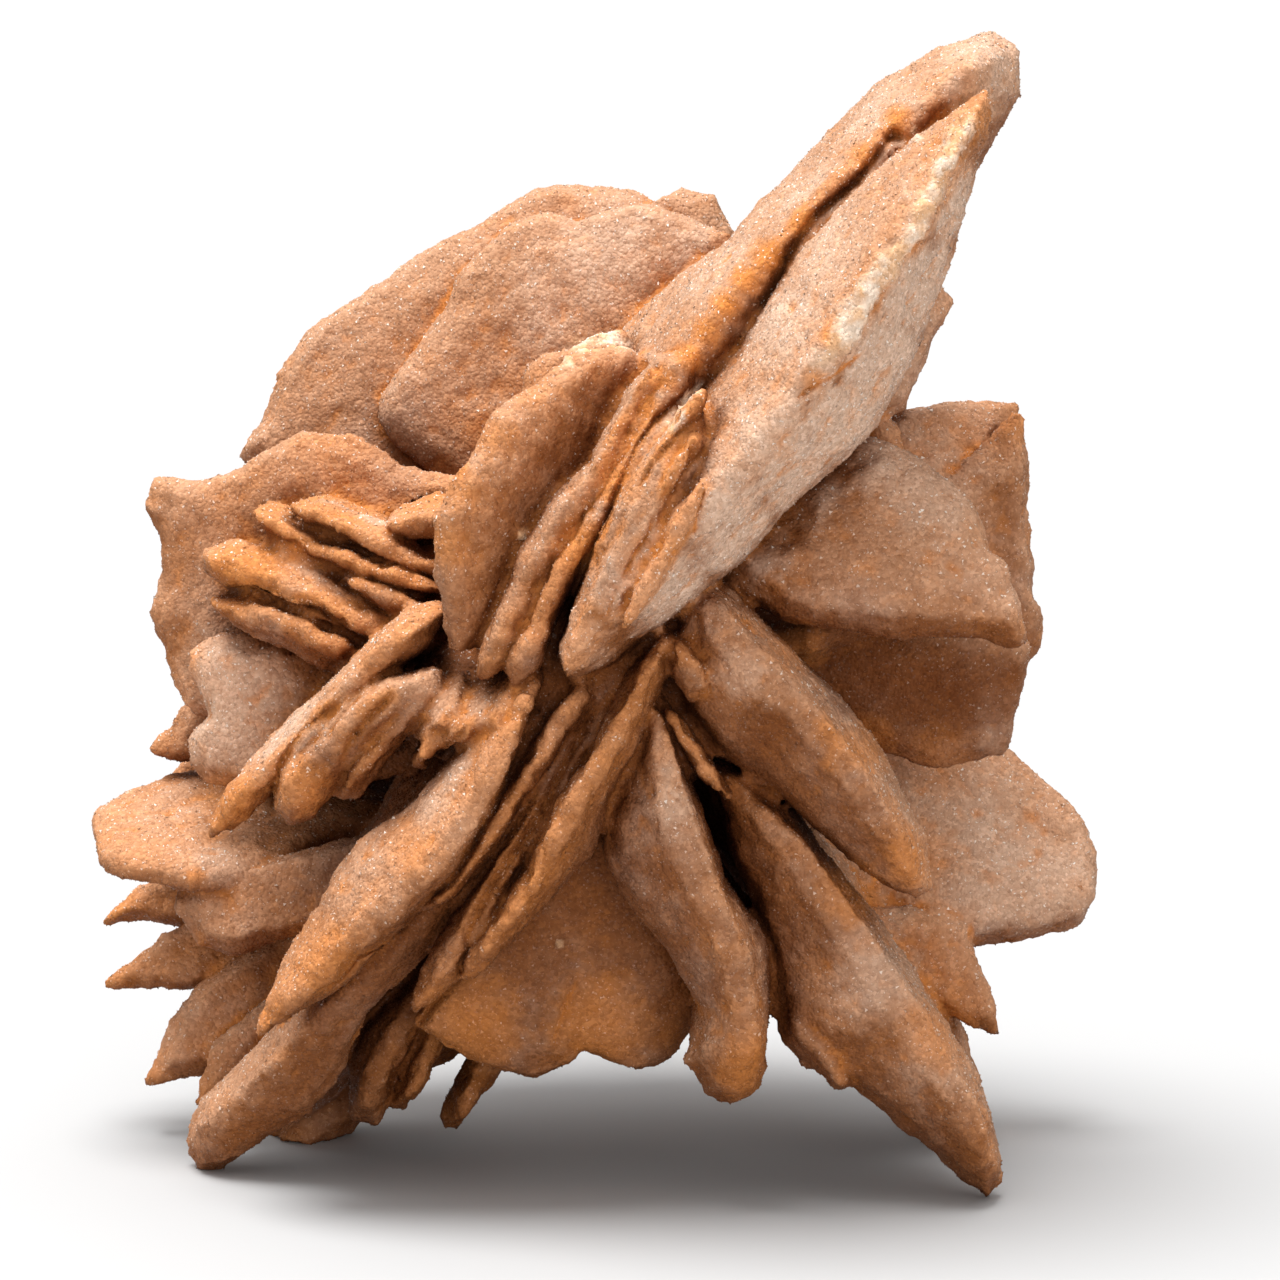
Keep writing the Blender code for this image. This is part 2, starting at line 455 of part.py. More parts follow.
def left_bundles(group):
    """Small blades that point left, and the rough bundle below them."""
    for label, outline, depth, front in (
        ("dart_top", ((-15.0, 33.1), (-13.0, 33.1), (-10.4, 32.1), (-7.6, 30.4), (-6.4, 29.0),
                      (-9.4, 29.9), (-12.0, 31.2), (-14.2, 32.1)), -3.6, 2.0),
        ("dart_tip", ((-17.0, 32.7), (-15.4, 32.4), (-13.2, 31.2), (-11.0, 29.4),
                      (-14.0, 30.6), (-16.0, 31.5)), -2.4, 1.2),
        ("dart_main", ((-19.5, 30.6), (-17.8, 31.3), (-15.1, 30.4), (-10.0, 27.8),
                       (-7.4, 26.0), (-10.0, 26.1), (-12.6, 27.6), (-15.2, 28.4),
                       (-18.4, 29.0), (-19.3, 29.6)), -3.0, 2.2),
        ("dart_low", ((-19.0, 28.2), (-16.5, 28.6), (-14.3, 27.8), (-11.9, 26.3),
                      (-8.6, 23.8), (-13.4, 24.8), (-17.7, 26.9)), -3.0, 2.2),
        ("dart_rib_a", ((-13.4, 30.7), (-12.2, 30.8), (-9.6, 30.1), (-6.8, 28.6),
                        (-9.6, 28.5), (-12.0, 29.7)), -5.0, 1.4),
        ("dart_rib_b", ((-12.4, 29.4), (-11.2, 29.4), (-9.0, 28.7), (-6.8, 27.4),
                        (-9.4, 27.0), (-11.4, 28.2)), -5.4, 1.4),
        ("dart_stub", ((-10.2, 32.0), (-9.2, 32.4), (-6.6, 33.0), (-6.2, 31.4),
                       (-9.6, 31.2)), -5.4, 1.2),
    ):
        tip, root = Vector(outline[0]), Vector(outline[len(outline) // 2])
        edge_blade(group, label, outline, (tip.lerp(root, 0.12), tip.lerp(root, 0.85)),
                   depth, front, 9.0, (-0.5, 0.0))
    edge_blade(group, "left_long", (
        (-19.1, 16.3), (-18.2, 18.8), (-16.3, 21.0), (-13.2, 24.0), (-11.2, 26.2),
        (-9.2, 27.7), (-7.0, 27.8), (-8.0, 26.0), (-10.0, 24.4), (-14.0, 20.4),
        (-17.2, 17.3)),
        ((-18.2, 17.6), (-15.8, 20.0), (-12.8, 23.3), (-9.6, 26.2)),
        -8.0, 3.0, 8.0, (-0.4, 0.0), (2.0, 2.0), PLAIN)
    edge_blade(group, "left_block", (
        (-15.8, 18.0), (-15.6, 20.0), (-14.0, 21.2), (-12.4, 23.4), (-10.6, 24.4),
        (-7.4, 25.0), (-7.0, 23.4), (-10.2, 21.6), (-12.0, 19.6), (-13.8, 17.4),
        (-15.0, 17.0)), ((-14.8, 19.2), (-12.4, 21.6), (-9.4, 23.9)),
        -9.5, 2.6, 7.0, (-0.4, 0.0), (1.0, 0.0), BLUNT)
    edge_blade(group, "left_rib_a", (
        (-12.7, 18.4), (-11.6, 20.4), (-9.8, 22.6), (-8.3, 24.2), (-7.2, 23.9),
        (-8.5, 22.0), (-11.6, 18.4)), ((-11.8, 19.4), (-8.4, 23.4)),
        -10.5, 1.8, 6.0, (-0.4, 0.0))
    edge_blade(group, "left_rib_b", (
        (-8.9, 20.1), (-8.0, 22.0), (-7.0, 23.2), (-6.0, 23.0), (-6.8, 21.4),
        (-8.2, 19.7)), ((-8.2, 20.8), (-6.8, 22.6)), -11.5, 1.8, 6.0, (-0.3, 0.0))
    plate(group, "dart_bed", (
        (-16.0, 31.8), (-13.0, 32.4), (-9.0, 31.6), (-5.6, 31.4), (-5.6, 26.6),
        (-9.4, 25.0), (-13.4, 26.2), (-17.0, 28.8)), -2.1, 3.6, (-0.25, 0.1))
    fan(group, "tangle", ((-7.0, -11.0, 25.0), 46, 0, 10), ((-3.2, -12.4, 25.4), 54, 0, 6),
        4, (2.4, 3.4), 1.2)


def low_spikes(group):
    """Spikes at the lower left and the small feet between the two front ones."""
    plate(group, "spike_a", (
        (-24.4, 12.1), (-22.5, 13.9), (-17.0, 15.4), (-12.0, 14.0), (-19.0, 11.6),
        (-22.5, 12.4)), 9.0, 2.0, (-0.2, 0.4))
    plate(group, "spike_b", (
        (-24.0, 9.0), (-22.4, 10.6), (-21.2, 11.6), (-14.0, 14.0), (-11.0, 11.0),
        (-20.4, 8.8), (-22.4, 9.0)), 7.0, 2.2, (-0.2, 0.3))
    plate(group, "spike_c", (
        (-22.2, 4.1), (-20.8, 7.4), (-19.0, 9.4), (-10.0, 15.0), (-7.0, 10.0),
        (-16.0, 6.0), (-19.4, 4.5)), 5.0, 2.4, (-0.2, 0.2))
    plate(group, "spike_d", (
        (-19.8, 3.0), (-18.8, 6.0), (-10.0, 13.0), (-8.0, 8.0), (-17.0, 3.6)),
        2.6, 2.0, (-0.2, 0.2))
    edge_blade(group, "back_left_foot", (
        (-16.2, 0.8), (-15.4, 2.4), (-11.0, 6.0), (-4.0, 11.0), (-4.0, 7.0), (-11.0, 2.6),
        (-12.4, 0.9), (-14.4, 0.4)), ((-14.6, 1.4), (-6.0, 8.0)), 5.0, 2.4, 6.0,
        (0.0, 0.0), (3.0, 4.0))
    for label, outline, depth in (
        ("toe_a", ((-12.3, 5.4), (-11.2, 8.0), (-8.6, 10.6), (-5.4, 13.0), (-7.4, 8.0),
                   (-9.4, 4.6), (-10.6, 1.9), (-12.0, 2.2)), -1.0),
        ("toe_b", ((-10.0, 2.9), (-9.6, 4.8), (-8.0, 8.2), (-4.6, 13.0), (-5.2, 9.6),
                   (-8.4, 4.0), (-9.3, 2.6)), -1.0),
        ("toe_c", ((-7.6, 1.8), (-7.4, 3.2), (-6.2, 5.4), (-2.0, 12.0), (-1.0, 9.6),
                   (-5.6, 3.2), (-6.7, 1.7)), 1.0),
    ):
        foot, root = Vector(outline[-1]), Vector(outline[3])
        edge_blade(group, label, outline, (foot.lerp(root, 0.15), foot.lerp(root, 0.8)),
                   depth, 2.2, 6.0, (-0.2, 0.0), (2.0, 3.0))


def middle_blades(group):
    """Blades inside the cluster that only the side views show."""
    free_blade(group, "inner_left", (-8.0, 1.0, 17.5), 52, 0, 0, (11.0, 8.5), 4.4)
    free_blade(group, "inner_low", (-1.5, 3.6, 15.0), 70, 0, 4, (9.5, 8.0), 4.0)
    free_blade(group, "inner_right", (9.5, 1.0, 15.5), 126, 0, 0, (11.0, 8.0), 4.4)
    free_blade(group, "inner_top", (2.5, 3.0, 38.0), 56, 0, 12, (10.0, 8.0), 4.2)
    free_blade(group, "inner_side", (11.0, 0.0, 27.0), 20, 0, -8, (8.5, 8.5), 4.0)
    free_blade(group, "inner_far", (-11.0, 2.0, 27.0), 160, 0, 8, (9.0, 8.0), 3.6)


def back_blades(group):
    """Blades that the front view hides, on the back and on top."""
    free_blade(group, "back_a", (-7.0, 11.0, 20.0), 62, 8, 28, (14.0, 9.5), 4.6)
    free_blade(group, "back_b", (8.5, 11.5, 20.0), 120, -8, -22, (14.0, 9.5), 4.6)
    free_blade(group, "back_c", (0.5, 13.0, 26.0), 10, 4, 10, (16.0, 9.0), 4.2)
    free_blade(group, "back_d", (1.0, 11.0, 15.0), 152, 8, -16, (13.0, 9.0), 4.0)
    free_blade(group, "back_e", (6.0, 10.0, 33.0), 42, 10, 20, (13.0, 9.0), 4.2)
    free_blade(group, "back_f", (-3.0, 14.0, 32.0), 98, -4, 62, (11.0, 8.0), 3.6)
    free_blade(group, "back_g", (12.0, 6.0, 28.0), 82, 4, 30, (11.0, 8.0), 3.8)
    free_blade(group, "back_h", (-10.5, 10.0, 28.0), 20, -12, -18, (9.5, 8.0), 3.4)
    free_blade(group, "back_i", (3.0, 16.0, 20.0), 76, 10, 4, (9.5, 6.5), 3.0)
    free_blade(group, "back_j", (-5.0, 17.0, 26.0), 132, -10, -12, (8.5, 5.2), 2.6)
    free_blade(group, "back_k", (9.5, 14.5, 26.5), 58, 8, 18, (8.5, 6.2), 2.8)
    free_blade(group, "back_l", (12.5, 8.0, 17.0), 136, 12, -28, (8.5, 7.0), 3.2)
    free_blade(group, "back_m", (5.5, 7.0, 41.0), 40, 4, 30, (6.5, 6.0), 3.2)
    fan(group, "back_rib", ((-6.0, 16.0, 17.0), 60, 10, 10),
        ((-1.0, 17.0, 17.0), 88, 10, -6), 3, (6.0, 4.6), SMALL_BLADE)
    fan(group, "back_comb", ((-6.0, 17.0, 37.0), 52, 6, 6),
        ((1.0, 17.0, 39.5), 66, 6, -8), 3, (5.4, 4.0), SMALL_BLADE)


def lump_form(half_sizes, middle):
    """An uneven closed lump between blades, by its half sizes and its middle."""
    dice = random.Random(SEED)
    form = bmesh.new()
    bmesh.ops.create_icosphere(form, subdivisions=2, radius=MM)
    bmesh.ops.scale(form, verts=form.verts, vec=half_sizes)
    for v in form.verts:
        v.co *= dice.uniform(0.92, 1.08)
    bmesh.ops.translate(form, verts=form.verts, vec=Vector(middle) * MM)
    return form


def floor_cutter():
    """A block whose top face is the surface that the rose stands on."""
    form = bmesh.new()
    bmesh.ops.create_cube(form, size=1.0)
    bmesh.ops.scale(form, verts=form.verts, vec=(100 * MM, 100 * MM, 20 * MM))
    bmesh.ops.translate(form, verts=form.verts, vec=(0.0, 0.0, -10 * MM))
    mesh = bpy.data.meshes.new("floor_cut")
    form.to_mesh(mesh)
    form.free()
    item = bpy.data.objects.new("floor_cut", mesh)
    item.hide_render = True
    item.display_type = "WIRE"
    bpy.context.scene.collection.objects.link(item)
    return item


def build():
    clear_scene()
    group = bpy.data.collections.new("crystals")
    bpy.context.scene.collection.children.link(group)
    form = lump_form(CORE, MIDDLE)
    bmesh.ops.translate(form, verts=form.verts, vec=Vector(SHIFT) * MM)
    mesh = bpy.data.meshes.new(NAME)
    form.to_mesh(mesh)
    form.free()
    rose = bpy.data.objects.new(NAME, mesh)
    bpy.context.scene.collection.objects.link(rose)
    mesh.materials.append(rose_material())
    for part_of_rose in (crossing_blades, stepped_ribs, lower_right_blades, right_plates,
                         left_plates, left_bundles, low_spikes, middle_blades,
                         back_blades):
        part_of_rose(group)
    for number, (half_sizes, middle) in enumerate(HUBS):
        add_crystal(group, f"hub_{number}", lump_form(half_sizes, middle))
    grow = rose.modifiers.new("grow", "BOOLEAN")
    grow.operation = "UNION"
    grow.solver = "EXACT"
    grow.operand_type = "COLLECTION"
    grow.collection = group
    wear = rose.modifiers.new("wear", "BOOLEAN")
    wear.operation = "DIFFERENCE"
    wear.solver = "EXACT"
    wear.object = floor_cutter()
    facets = rose.modifiers.new("facets", "DECIMATE")
    facets.ratio = KEEP


build()
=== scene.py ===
import math
import random

import bmesh
import bpy
import numpy as np
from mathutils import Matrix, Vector, noise
from mathutils.bvhtree import BVHTree


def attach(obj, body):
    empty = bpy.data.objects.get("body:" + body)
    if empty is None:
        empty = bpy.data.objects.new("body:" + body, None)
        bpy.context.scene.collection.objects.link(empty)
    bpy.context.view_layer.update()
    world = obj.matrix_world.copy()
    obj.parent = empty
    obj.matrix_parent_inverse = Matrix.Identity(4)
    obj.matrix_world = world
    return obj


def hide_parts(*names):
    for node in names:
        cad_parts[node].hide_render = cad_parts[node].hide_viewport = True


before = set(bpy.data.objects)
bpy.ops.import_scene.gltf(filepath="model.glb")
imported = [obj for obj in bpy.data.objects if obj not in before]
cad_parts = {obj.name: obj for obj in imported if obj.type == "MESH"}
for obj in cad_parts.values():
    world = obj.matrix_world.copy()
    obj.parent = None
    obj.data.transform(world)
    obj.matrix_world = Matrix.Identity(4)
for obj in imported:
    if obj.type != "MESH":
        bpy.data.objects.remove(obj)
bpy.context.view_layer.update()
print("frame loaded")

mm = 0.001

# The front view, in which the lines and spots below are given, and the camera that has it
sight = {
    "target": (2.27, -1.59, 26.5),   # the place it looks at, in millimetres
    "distance": 350.0,
    "rise": 9.0,                     # degrees above the level
    "height": 64.0,                  # what it holds at the target
    "zero": (2.5, 26.25),            # x and h of the target
    "slack": 0.3,                    # how far behind the first surface a place is still seen
    "sensor": 36.0,
    "nearest": 0.01,                 # in metres
}
rise = math.radians(sight["rise"])
toEye = (0.0, -math.cos(rise), math.sin(rise))

# How the crystals' surface is made, in millimetres
body = {
    "voxel": 0.17,              # fineness of the first mesh
    "settle": (16, 0.5, 0.52),  # rounds that take the facets away, and how far each draws in and
                                # lets out again
    "skip": 0.03,               # how far from its own surface a ray starts
    "thin": (0.5, 2.8),         # thickness of a place that is all rim, and of one that is none
    "deepest": (9.0, 6.0),      # furthest that it is measured, for the shape and for the colours
    "rim": ((4, 6), (2, 3)),    # rounds that widen and soften the rims, for the same two
    "puff": 0.08,               # how far the rims are pushed out on each side
    "still": 0.6,               # share of the faces' swell that they lack
    "edge": (24, 0.06, 0.22),   # rounds that smooth an edge, and how far it then stands out where
                                # its notches begin, and how much further where they are full
    "kept": 0.4,                # share of its own place that a point keeps in such a round
    "ledge": (0.85, 0.08),      # spacing and height of ledges where a younger layer stops
    "brink": 0.22,              # share of a ledge that is steep
    "bend": (3.0, 2.0),         # how much the swell and the lumps bend the ledges
    "gap": (2.0, 4, 1.2),       # furthest that a gap is measured, rounds that soften it, and how
                                # wide one is whose sides move freely
    "retreat": 0.05,            # how far the sides of a closed gap draw back
    "taper": 6.0,               # the splits and the sugar are whole after a sixth of their length
    "margins": (1.0, 1.5),      # how far around both their places are sought
    "crumbs": 0.88,             # share of its height that the sugar has where its ripple is 0
    "triangles": 193000,
    "behind": 85000,            # about how many of them lie where the front view doesn't look
}

# Its unevenness: spacing in millimetres, octaves, start of the pattern, height, and which part
# of the pattern's values is kept
uncut = (-math.inf, math.inf)
ripples = {
    "swell": (5.2, 2, 3.1, 0.20, uncut),
    "lumps": (1.5, 2, 9.4, 0.110, uncut),
    "crust": (0.45, 2, 17.2, 0.075, uncut),
    "nibble": (1.3, 2, 27.5, 0.30, (-0.6, 0.35)),    # of the thin rims
    "notches": (1.0, 3, 71.0, 0.50, (-1.0, 0.3)),    # of their edges
    "crumbs": (0.5, 2, 33.0, 1.6, (-0.3, 0.7)),      # of the crusted sugar
    "wander": (0.9, 2, 41.0, 0.12, uncut),           # how far the splits leave their lines
    "fray": (1.1, 2, 53.0, 0.35, uncut),             # how far the sugar does
    "blur": (0.6, 2, 61.0, 0.25, uncut),             # how uneven the spots are, in radii
}

# Splits and gaps between layers: width to the right and to the left of the line as it runs,
# depth, and points (x, h)
splits = (
    (0.10, 0.28, 0.40, ((5.7, 38.7), (5.5, 38.2), (4.7, 37.0), (3.7, 35.8), (3.1, 35.0),
                        (2.3, 33.7))),
    (0.10, 0.26, 0.36, ((5.4, 36.1), (5.2, 35.4), (4.2, 34.5), (3.5, 33.1))),
    (0.10, 0.26, 0.36, ((3.2, 32.6), (2.7, 31.2), (2.0, 30.1), (1.4, 29.1))),
    (0.12, 0.30, 0.25, ((1.4, 29.1), (0.7, 27.1), (-0.1, 25.6))),
    (0.10, 0.26, 0.28, ((5.8, 34.0), (5.3, 32.7), (5.2, 31.4))),
    (0.20, 0.24, 0.50, ((7.1, 40.2), (5.0, 38.5), (3.3, 37.3), (2.3, 36.0), (1.5, 34.0),
                        (0.7, 31.8), (-0.3, 29.9), (-1.1, 28.2), (-1.8, 26.7), (-2.0, 24.9))),
    (0.18, 0.34, 0.35, ((3.2, 38.6), (2.3, 36.6), (0.8, 33.9), (-0.6, 31.8), (-1.8, 29.9),
                        (-2.9, 27.5), (-3.4, 25.9))),
    (0.15, 0.26, 0.22, ((3.9, 39.6), (2.5, 38.0), (1.6, 35.9))),
    (0.20, 0.35, 0.80, ((-16.6, 5.9), (-14.2, 8.1), (-12.8, 9.0), (-11.6, 10.4), (-9.6, 11.6),
                        (-8.2, 13.2), (-6.8, 14.2), (-5.8, 15.9), (-4.8, 17.9), (-4.0, 19.4),
                        (-3.0, 21.2), (-1.4, 22.9))),
    (0.20, 0.40, 0.60, ((-6.3, 9.8), (-6.2, 11.3), (-4.8, 14.1), (-3.1, 16.4), (-1.8, 18.9),
                        (0.1, 22.4), (1.8, 24.2))),
    (0.15, 0.40, 0.50, ((-2.6, 16.8), (-3.6, 14.7), (-4.8, 13.3))),
    (0.15, 0.45, 0.45, ((0.5, 21.5), (-0.8, 19.8), (-1.5, 18.2), (-2.1, 16.9))),
    (0.15, 0.35, 0.45, ((-2.1, 20.6), (-3.5, 18.2), (-4.5, 16.0), (-6.0, 13.6), (-7.5, 12.0),
                        (-8.5, 10.2))),
    (0.15, 0.40, 0.45, ((-8.9, 9.9), (-10.3, 8.0), (-11.8, 6.5), (-12.2, 4.9))),
    (0.15, 0.40, 0.45, ((-7.2, 9.5), (-8.5, 7.2), (-9.7, 5.3), (-10.3, 2.9))),
    (0.15, 0.45, 0.60, ((-12.3, 23.2), (-13.7, 22.4), (-14.6, 21.6), (-15.5, 20.2),
                        (-15.8, 18.6), (-16.0, 17.1))),
    (0.15, 0.45, 0.60, ((-8.2, 22.4), (-9.5, 21.1), (-10.9, 19.9), (-12.2, 18.4))),
    (0.15, 0.45, 0.60, ((-6.0, 22.1), (-7.1, 21.1), (-8.2, 19.9), (-8.8, 19.1))),
    (0.15, 0.40, 0.45, ((-9.6, 23.8), (-10.9, 22.6), (-11.9, 21.4), (-12.7, 19.8))),
    (0.15, 0.35, 0.30, ((-10.9, 23.8), (-12.2, 22.6), (-13.4, 21.2))),
    (0.15, 0.40, 0.50, ((-14.5, 31.2), (-13.0, 31.0), (-11.6, 30.6), (-9.9, 29.9),
                        (-8.2, 29.0))),
    (0.15, 0.40, 0.45, ((-17.6, 29.1), (-15.4, 28.6), (-13.8, 27.9), (-11.8, 26.5))),
    (0.15, 0.40, 0.45, ((-13.3, 29.7), (-11.8, 28.6), (-9.8, 27.4))),
    (0.15, 0.40, 0.45, ((-11.3, 29.4), (-9.5, 28.8), (-8.1, 27.9))),
    (0.25, 0.35, 0.70, ((15.8, 52.2), (14.5, 50.8), (13.0, 49.0), (11.2, 47.5), (10.0, 45.8),
                        (9.2, 43.8), (8.1, 42.1))),
    (0.14, 0.30, 0.45, ((13.7, 40.8), (12.8, 40.1), (11.8, 39.5), (11.0, 38.9), (10.2, 38.2))),
    (0.15, 0.50, 0.30, ((-0.5, 9.7), (-1.2, 8.2), (-1.6, 7.0), (-2.0, 5.7))),
    (0.15, 0.35, 0.35, ((7.6, 27.6), (8.2, 26.8), (9.2, 25.8), (10.5, 24.2))),
)

# Raised bands of crusted sugar: half width, height, and points (x, h)
crusts = (
    (0.62, 0.16, ((19.3, 53.4), (18.3, 51.2), (17.4, 49.4), (16.9, 48.2), (16.0, 46.5),
                  (15.0, 45.2), (14.2, 44.2), (13.5, 43.0), (12.7, 41.6), (12.0, 40.4),
                  (11.0, 39.4))),
    (0.22, 0.05, ((5.6, 39.2), (4.6, 38.0), (3.6, 36.6))),
    (0.40, 0.08, ((-1.2, 41.0), (0.2, 41.2), (1.2, 41.3), (2.2, 40.8))),
    (0.26, 0.16, ((16.2, 51.3), (16.5, 51.5))),
    (0.30, 0.20, ((-1.4, 40.1), (-0.9, 40.3))),
    (0.24, 0.20, ((-3.4, 31.3), (-3.4, 31.7))),
    (0.24, 0.14, ((-1.6, 11.0), (-1.2, 11.0))),
)

# Small hollows where sand fell out, then places paler with powder and painted light, orange
# places that are in part a painted glow, and places of painted shade: x, h, radius, and depth
# or strength
pits = (
    (16.7, 50.2, 0.22, 0.22), (15.4, 49.4, 0.15, 0.14), (9.3, 39.6, 0.14, 0.12),
    (15.1, 51.5, 0.60, 0.60), (13.4, 50.3, 0.40, 0.30), (9.6, 45.3, 0.30, 0.35),
)
# paler spots: powder, and painted light on faces that are shaded
lightAndPowderSpots = (
    (-17.2, 22.6, 4.2, 1.0), (-18.6, 25.2, 2.4, 0.9), (19.5, 15.0, 5.0, 0.4),
    (22.5, 13.6, 3.5, 0.4), (16.4, 44.0, 3.0, 1.0), (14.6, 40.4, 3.0, 1.0),
    (17.8, 48.4, 2.4, 1.0), (13.2, 42.2, 1.6, 0.9), (11.4, 40.0, 1.6, 0.9),
    (12.8, 37.0, 3.0, 1.0), (10.2, 34.4, 3.0, 0.9), (7.6, 31.0, 3.0, 0.9),
    (14.2, 36.6, 3.4, 0.7), (17.0, 34.0, 3.4, 0.5), (6.0, 31.0, 3.0, 0.5),
    (12.0, 45.4, 3.4, 0.35), (9.4, 42.0, 2.8, 0.7), (19.5, 55.0, 3.0, 0.6),
    (14.4, 53.2, 3.4, 0.4), (10.4, 49.0, 3.0, 0.4), (6.4, 45.0, 3.0, 0.4),
    (14.0, 9.0, 3.0, 0.3), (17.0, 5.0, 3.0, 0.3), (3.4, 29.0, 3.4, 0.9),
    (6.6, 33.0, 3.4, 0.8), (9.4, 36.6, 3.0, 0.8), (-0.6, 26.0, 2.0, 0.6),
    (0.6, 45.6, 3.4, 0.5), (-2.4, 43.4, 2.6, 0.4), (7.4, 24.4, 2.0, 0.3),
    (4.0, 19.0, 2.4, 0.3), (-6.6, 17.0, 3.0, 0.3),
)
# orange spots, in part a painted glow where rims catch the light
orangeSpots = (
    (15.4, 52.3, 0.9, 1.0), (13.5, 50.5, 0.7, 0.7), (18.2, 50.9, 0.5, 0.7),
    (15.9, 46.0, 0.6, 0.8), (14.0, 43.6, 0.6, 0.6), (12.1, 41.4, 0.7, 0.9),
    (11.2, 39.4, 0.7, 0.7), (10.6, 47.2, 0.8, 0.8), (8.8, 45.5, 1.0, 1.0),
    (7.8, 44.3, 1.0, 1.0), (6.8, 43.0, 1.0, 1.0), (5.8, 41.7, 1.0, 0.9),
    (4.9, 40.5, 0.9, 0.9), (3.8, 39.2, 0.9, 0.8),
    (-7.2, 31.0, 1.3, 0.4), (-7.0, 34.0, 1.6, 0.5), (-5.2, 36.6, 1.6, 0.5),
    (-3.0, 39.0, 1.6, 0.4), (-0.4, 31.0, 1.6, 0.5), (1.6, 34.6, 1.6, 0.5),
    (10.4, 25.8, 1.6, 0.4), (13.8, 21.0, 1.8, 0.5), (16.4, 15.4, 2.0, 0.6),
    (-6.0, 7.0, 3.0, 0.5), (0.5, 7.0, 3.0, 0.5), (8.2, 5.0, 2.2, 0.5),
    (-18.0, 18.4, 1.8, 0.6), (-14.6, 19.0, 1.8, 0.6), (-17.4, 30.0, 2.0, 0.6),
    (13.2, 13.6, 2.0, 0.5), (17.6, 6.6, 2.4, 0.5), (17.5, 20.4, 2.0, 0.2),
    (-13.6, 10.6, 2.4, 0.4), (-8.8, 15.8, 1.8, 0.4),
)
# painted shade: darker spots where the rose lies in shade
paintedShadeSpots = (
    (17.3, 23.6, 3.8, 0.9), (13.8, 24.4, 2.8, 0.9), (20.6, 24.6, 2.6, 0.7),
    (9.0, 21.6, 2.0, 0.6), (-13.6, 19.8, 1.8, 0.6), (-10.4, 18.4, 2.2, 0.7),
    (-2.6, 33.4, 2.4, 0.15), (-3.4, 29.4, 2.2, 0.2), (-5.2, 24.6, 1.8, 0.5),
    (10.8, 12.2, 2.2, 0.4), (3.4, 14.6, 2.0, 0.4), (-9.0, 36.0, 2.4, 0.3),
    (-15.0, 13.0, 2.4, 0.3),
)

# What is measured on the body for the colours, and handed on to its grains
marks = ("thin", "open", "sky", "crest", "sugar", "orangeSpot", "lightAndPowderSpot", "paintedShade")

# How they are measured: rays out of the surface find how open it is to the light
measure = {
    "rays": 20,
    "furthest": 8.0,         # where they end, in millimetres
    "start": 0.08,           # how far above the surface they start
    "turn": 2.39996,         # from each ray to the next, in radians
    "shake": 0.2,            # how far a ray is turned by chance
    "seed": 5,
    "wall": 0.5,             # how much light gets past a wall that stands at the rays' end
    "level": 1.5,            # brings a clear face that looks straight up to 1
    "crest": (4, 1, 5.0),    # rounds that find and that soften the crests, and their strength
    "openSoft": 1,           # rounds that soften the other marks
    "skySoft": 2,
    "shownSoft": 60,
}


def freshMesh(name, source):
    mesh = source.data.copy()
    form = bmesh.new()
    form.from_mesh(mesh)
    bmesh.ops.remove_doubles(form, verts=form.verts, dist=0.001 * mm)  # the node is loose triangles
    form.to_mesh(mesh)
    form.free()
    piece = bpy.data.objects.new(name, mesh)
    bpy.context.scene.collection.objects.link(piece)
    return piece


def applied(piece):
    dg = bpy.context.evaluated_depsgraph_get()
    made = bpy.data.meshes.new_from_object(piece.evaluated_get(dg))
    piece.modifiers.clear()
    old = piece.data
    piece.data = made
    bpy.data.meshes.remove(old)
    made.name = piece.name


def places(mesh):
    co = np.empty(len(mesh.vertices) * 3, np.float32)
    mesh.vertices.foreach_get("co", co)
    return co.reshape(-1, 3).astype(float)


def normals(mesh):
    no = np.empty(len(mesh.vertices) * 3, np.float32)
    mesh.vertex_normals.foreach_get("vector", no)
    return no.reshape(-1, 3).astype(float)


def setPlaces(mesh, co):
    mesh.vertices.foreach_set("co", co.astype(np.float32).ravel())
    mesh.update()


def edgesOf(mesh):  # the two ends of each edge, and how many edges meet at each place
    ends = np.empty(len(mesh.edges) * 2, np.int32)
    mesh.edges.foreach_get("vertices", ends)
    count = np.maximum(np.bincount(ends, minlength=len(mesh.vertices)), 1)
    return ends.reshape(-1, 2), count


def neighbourMean(values, ends, count):
    total = np.zeros_like(values)
    for axis in range(values.shape[1]):
        total[:, axis] = np.bincount(ends[:, 0], values[ends[:, 1], axis], len(values))
        total[:, axis] += np.bincount(ends[:, 1], values[ends[:, 0], axis], len(values))
    return total / count[:, None]


def settled(mesh):  # smooths and swells in turn, so that thin rims don't shrink
    co = places(mesh)
    ends, count = edgesOf(mesh)
    rounds, drawIn, letOut = body["settle"]
    for _ in range(rounds):
        co += drawIn * (neighbourMean(co, ends, count) - co)
        co -= letOut * (neighbourMean(co, ends, count) - co)
    setPlaces(mesh, co)


def treeOf(mesh):
    return BVHTree.FromPolygons(places(mesh).tolist(), [tuple(p.vertices) for p in mesh.polygons])


def reach(mesh, tree, side, furthest):  # how far it is to the next surface, -1 inwards, 1 outwards
    found = np.full(len(mesh.vertices), furthest * mm)
    skip = body["skip"]
    for i, (p, n) in enumerate(zip(places(mesh), normals(mesh))):
        way = Vector(n) * side
        hit = tree.ray_cast(Vector(p) + way * skip * mm, way, furthest * mm)
        if hit[3] is not None:
            found[i] = hit[3]
    return found


def spread(values, mesh, rounds):  # softens what was measured
    ends, count = edgesOf(mesh)
    soft = values[:, None].copy()
    for _ in range(rounds):
        soft = 0.5 * soft + 0.5 * neighbourMean(soft, ends, count)
    return soft[:, 0]


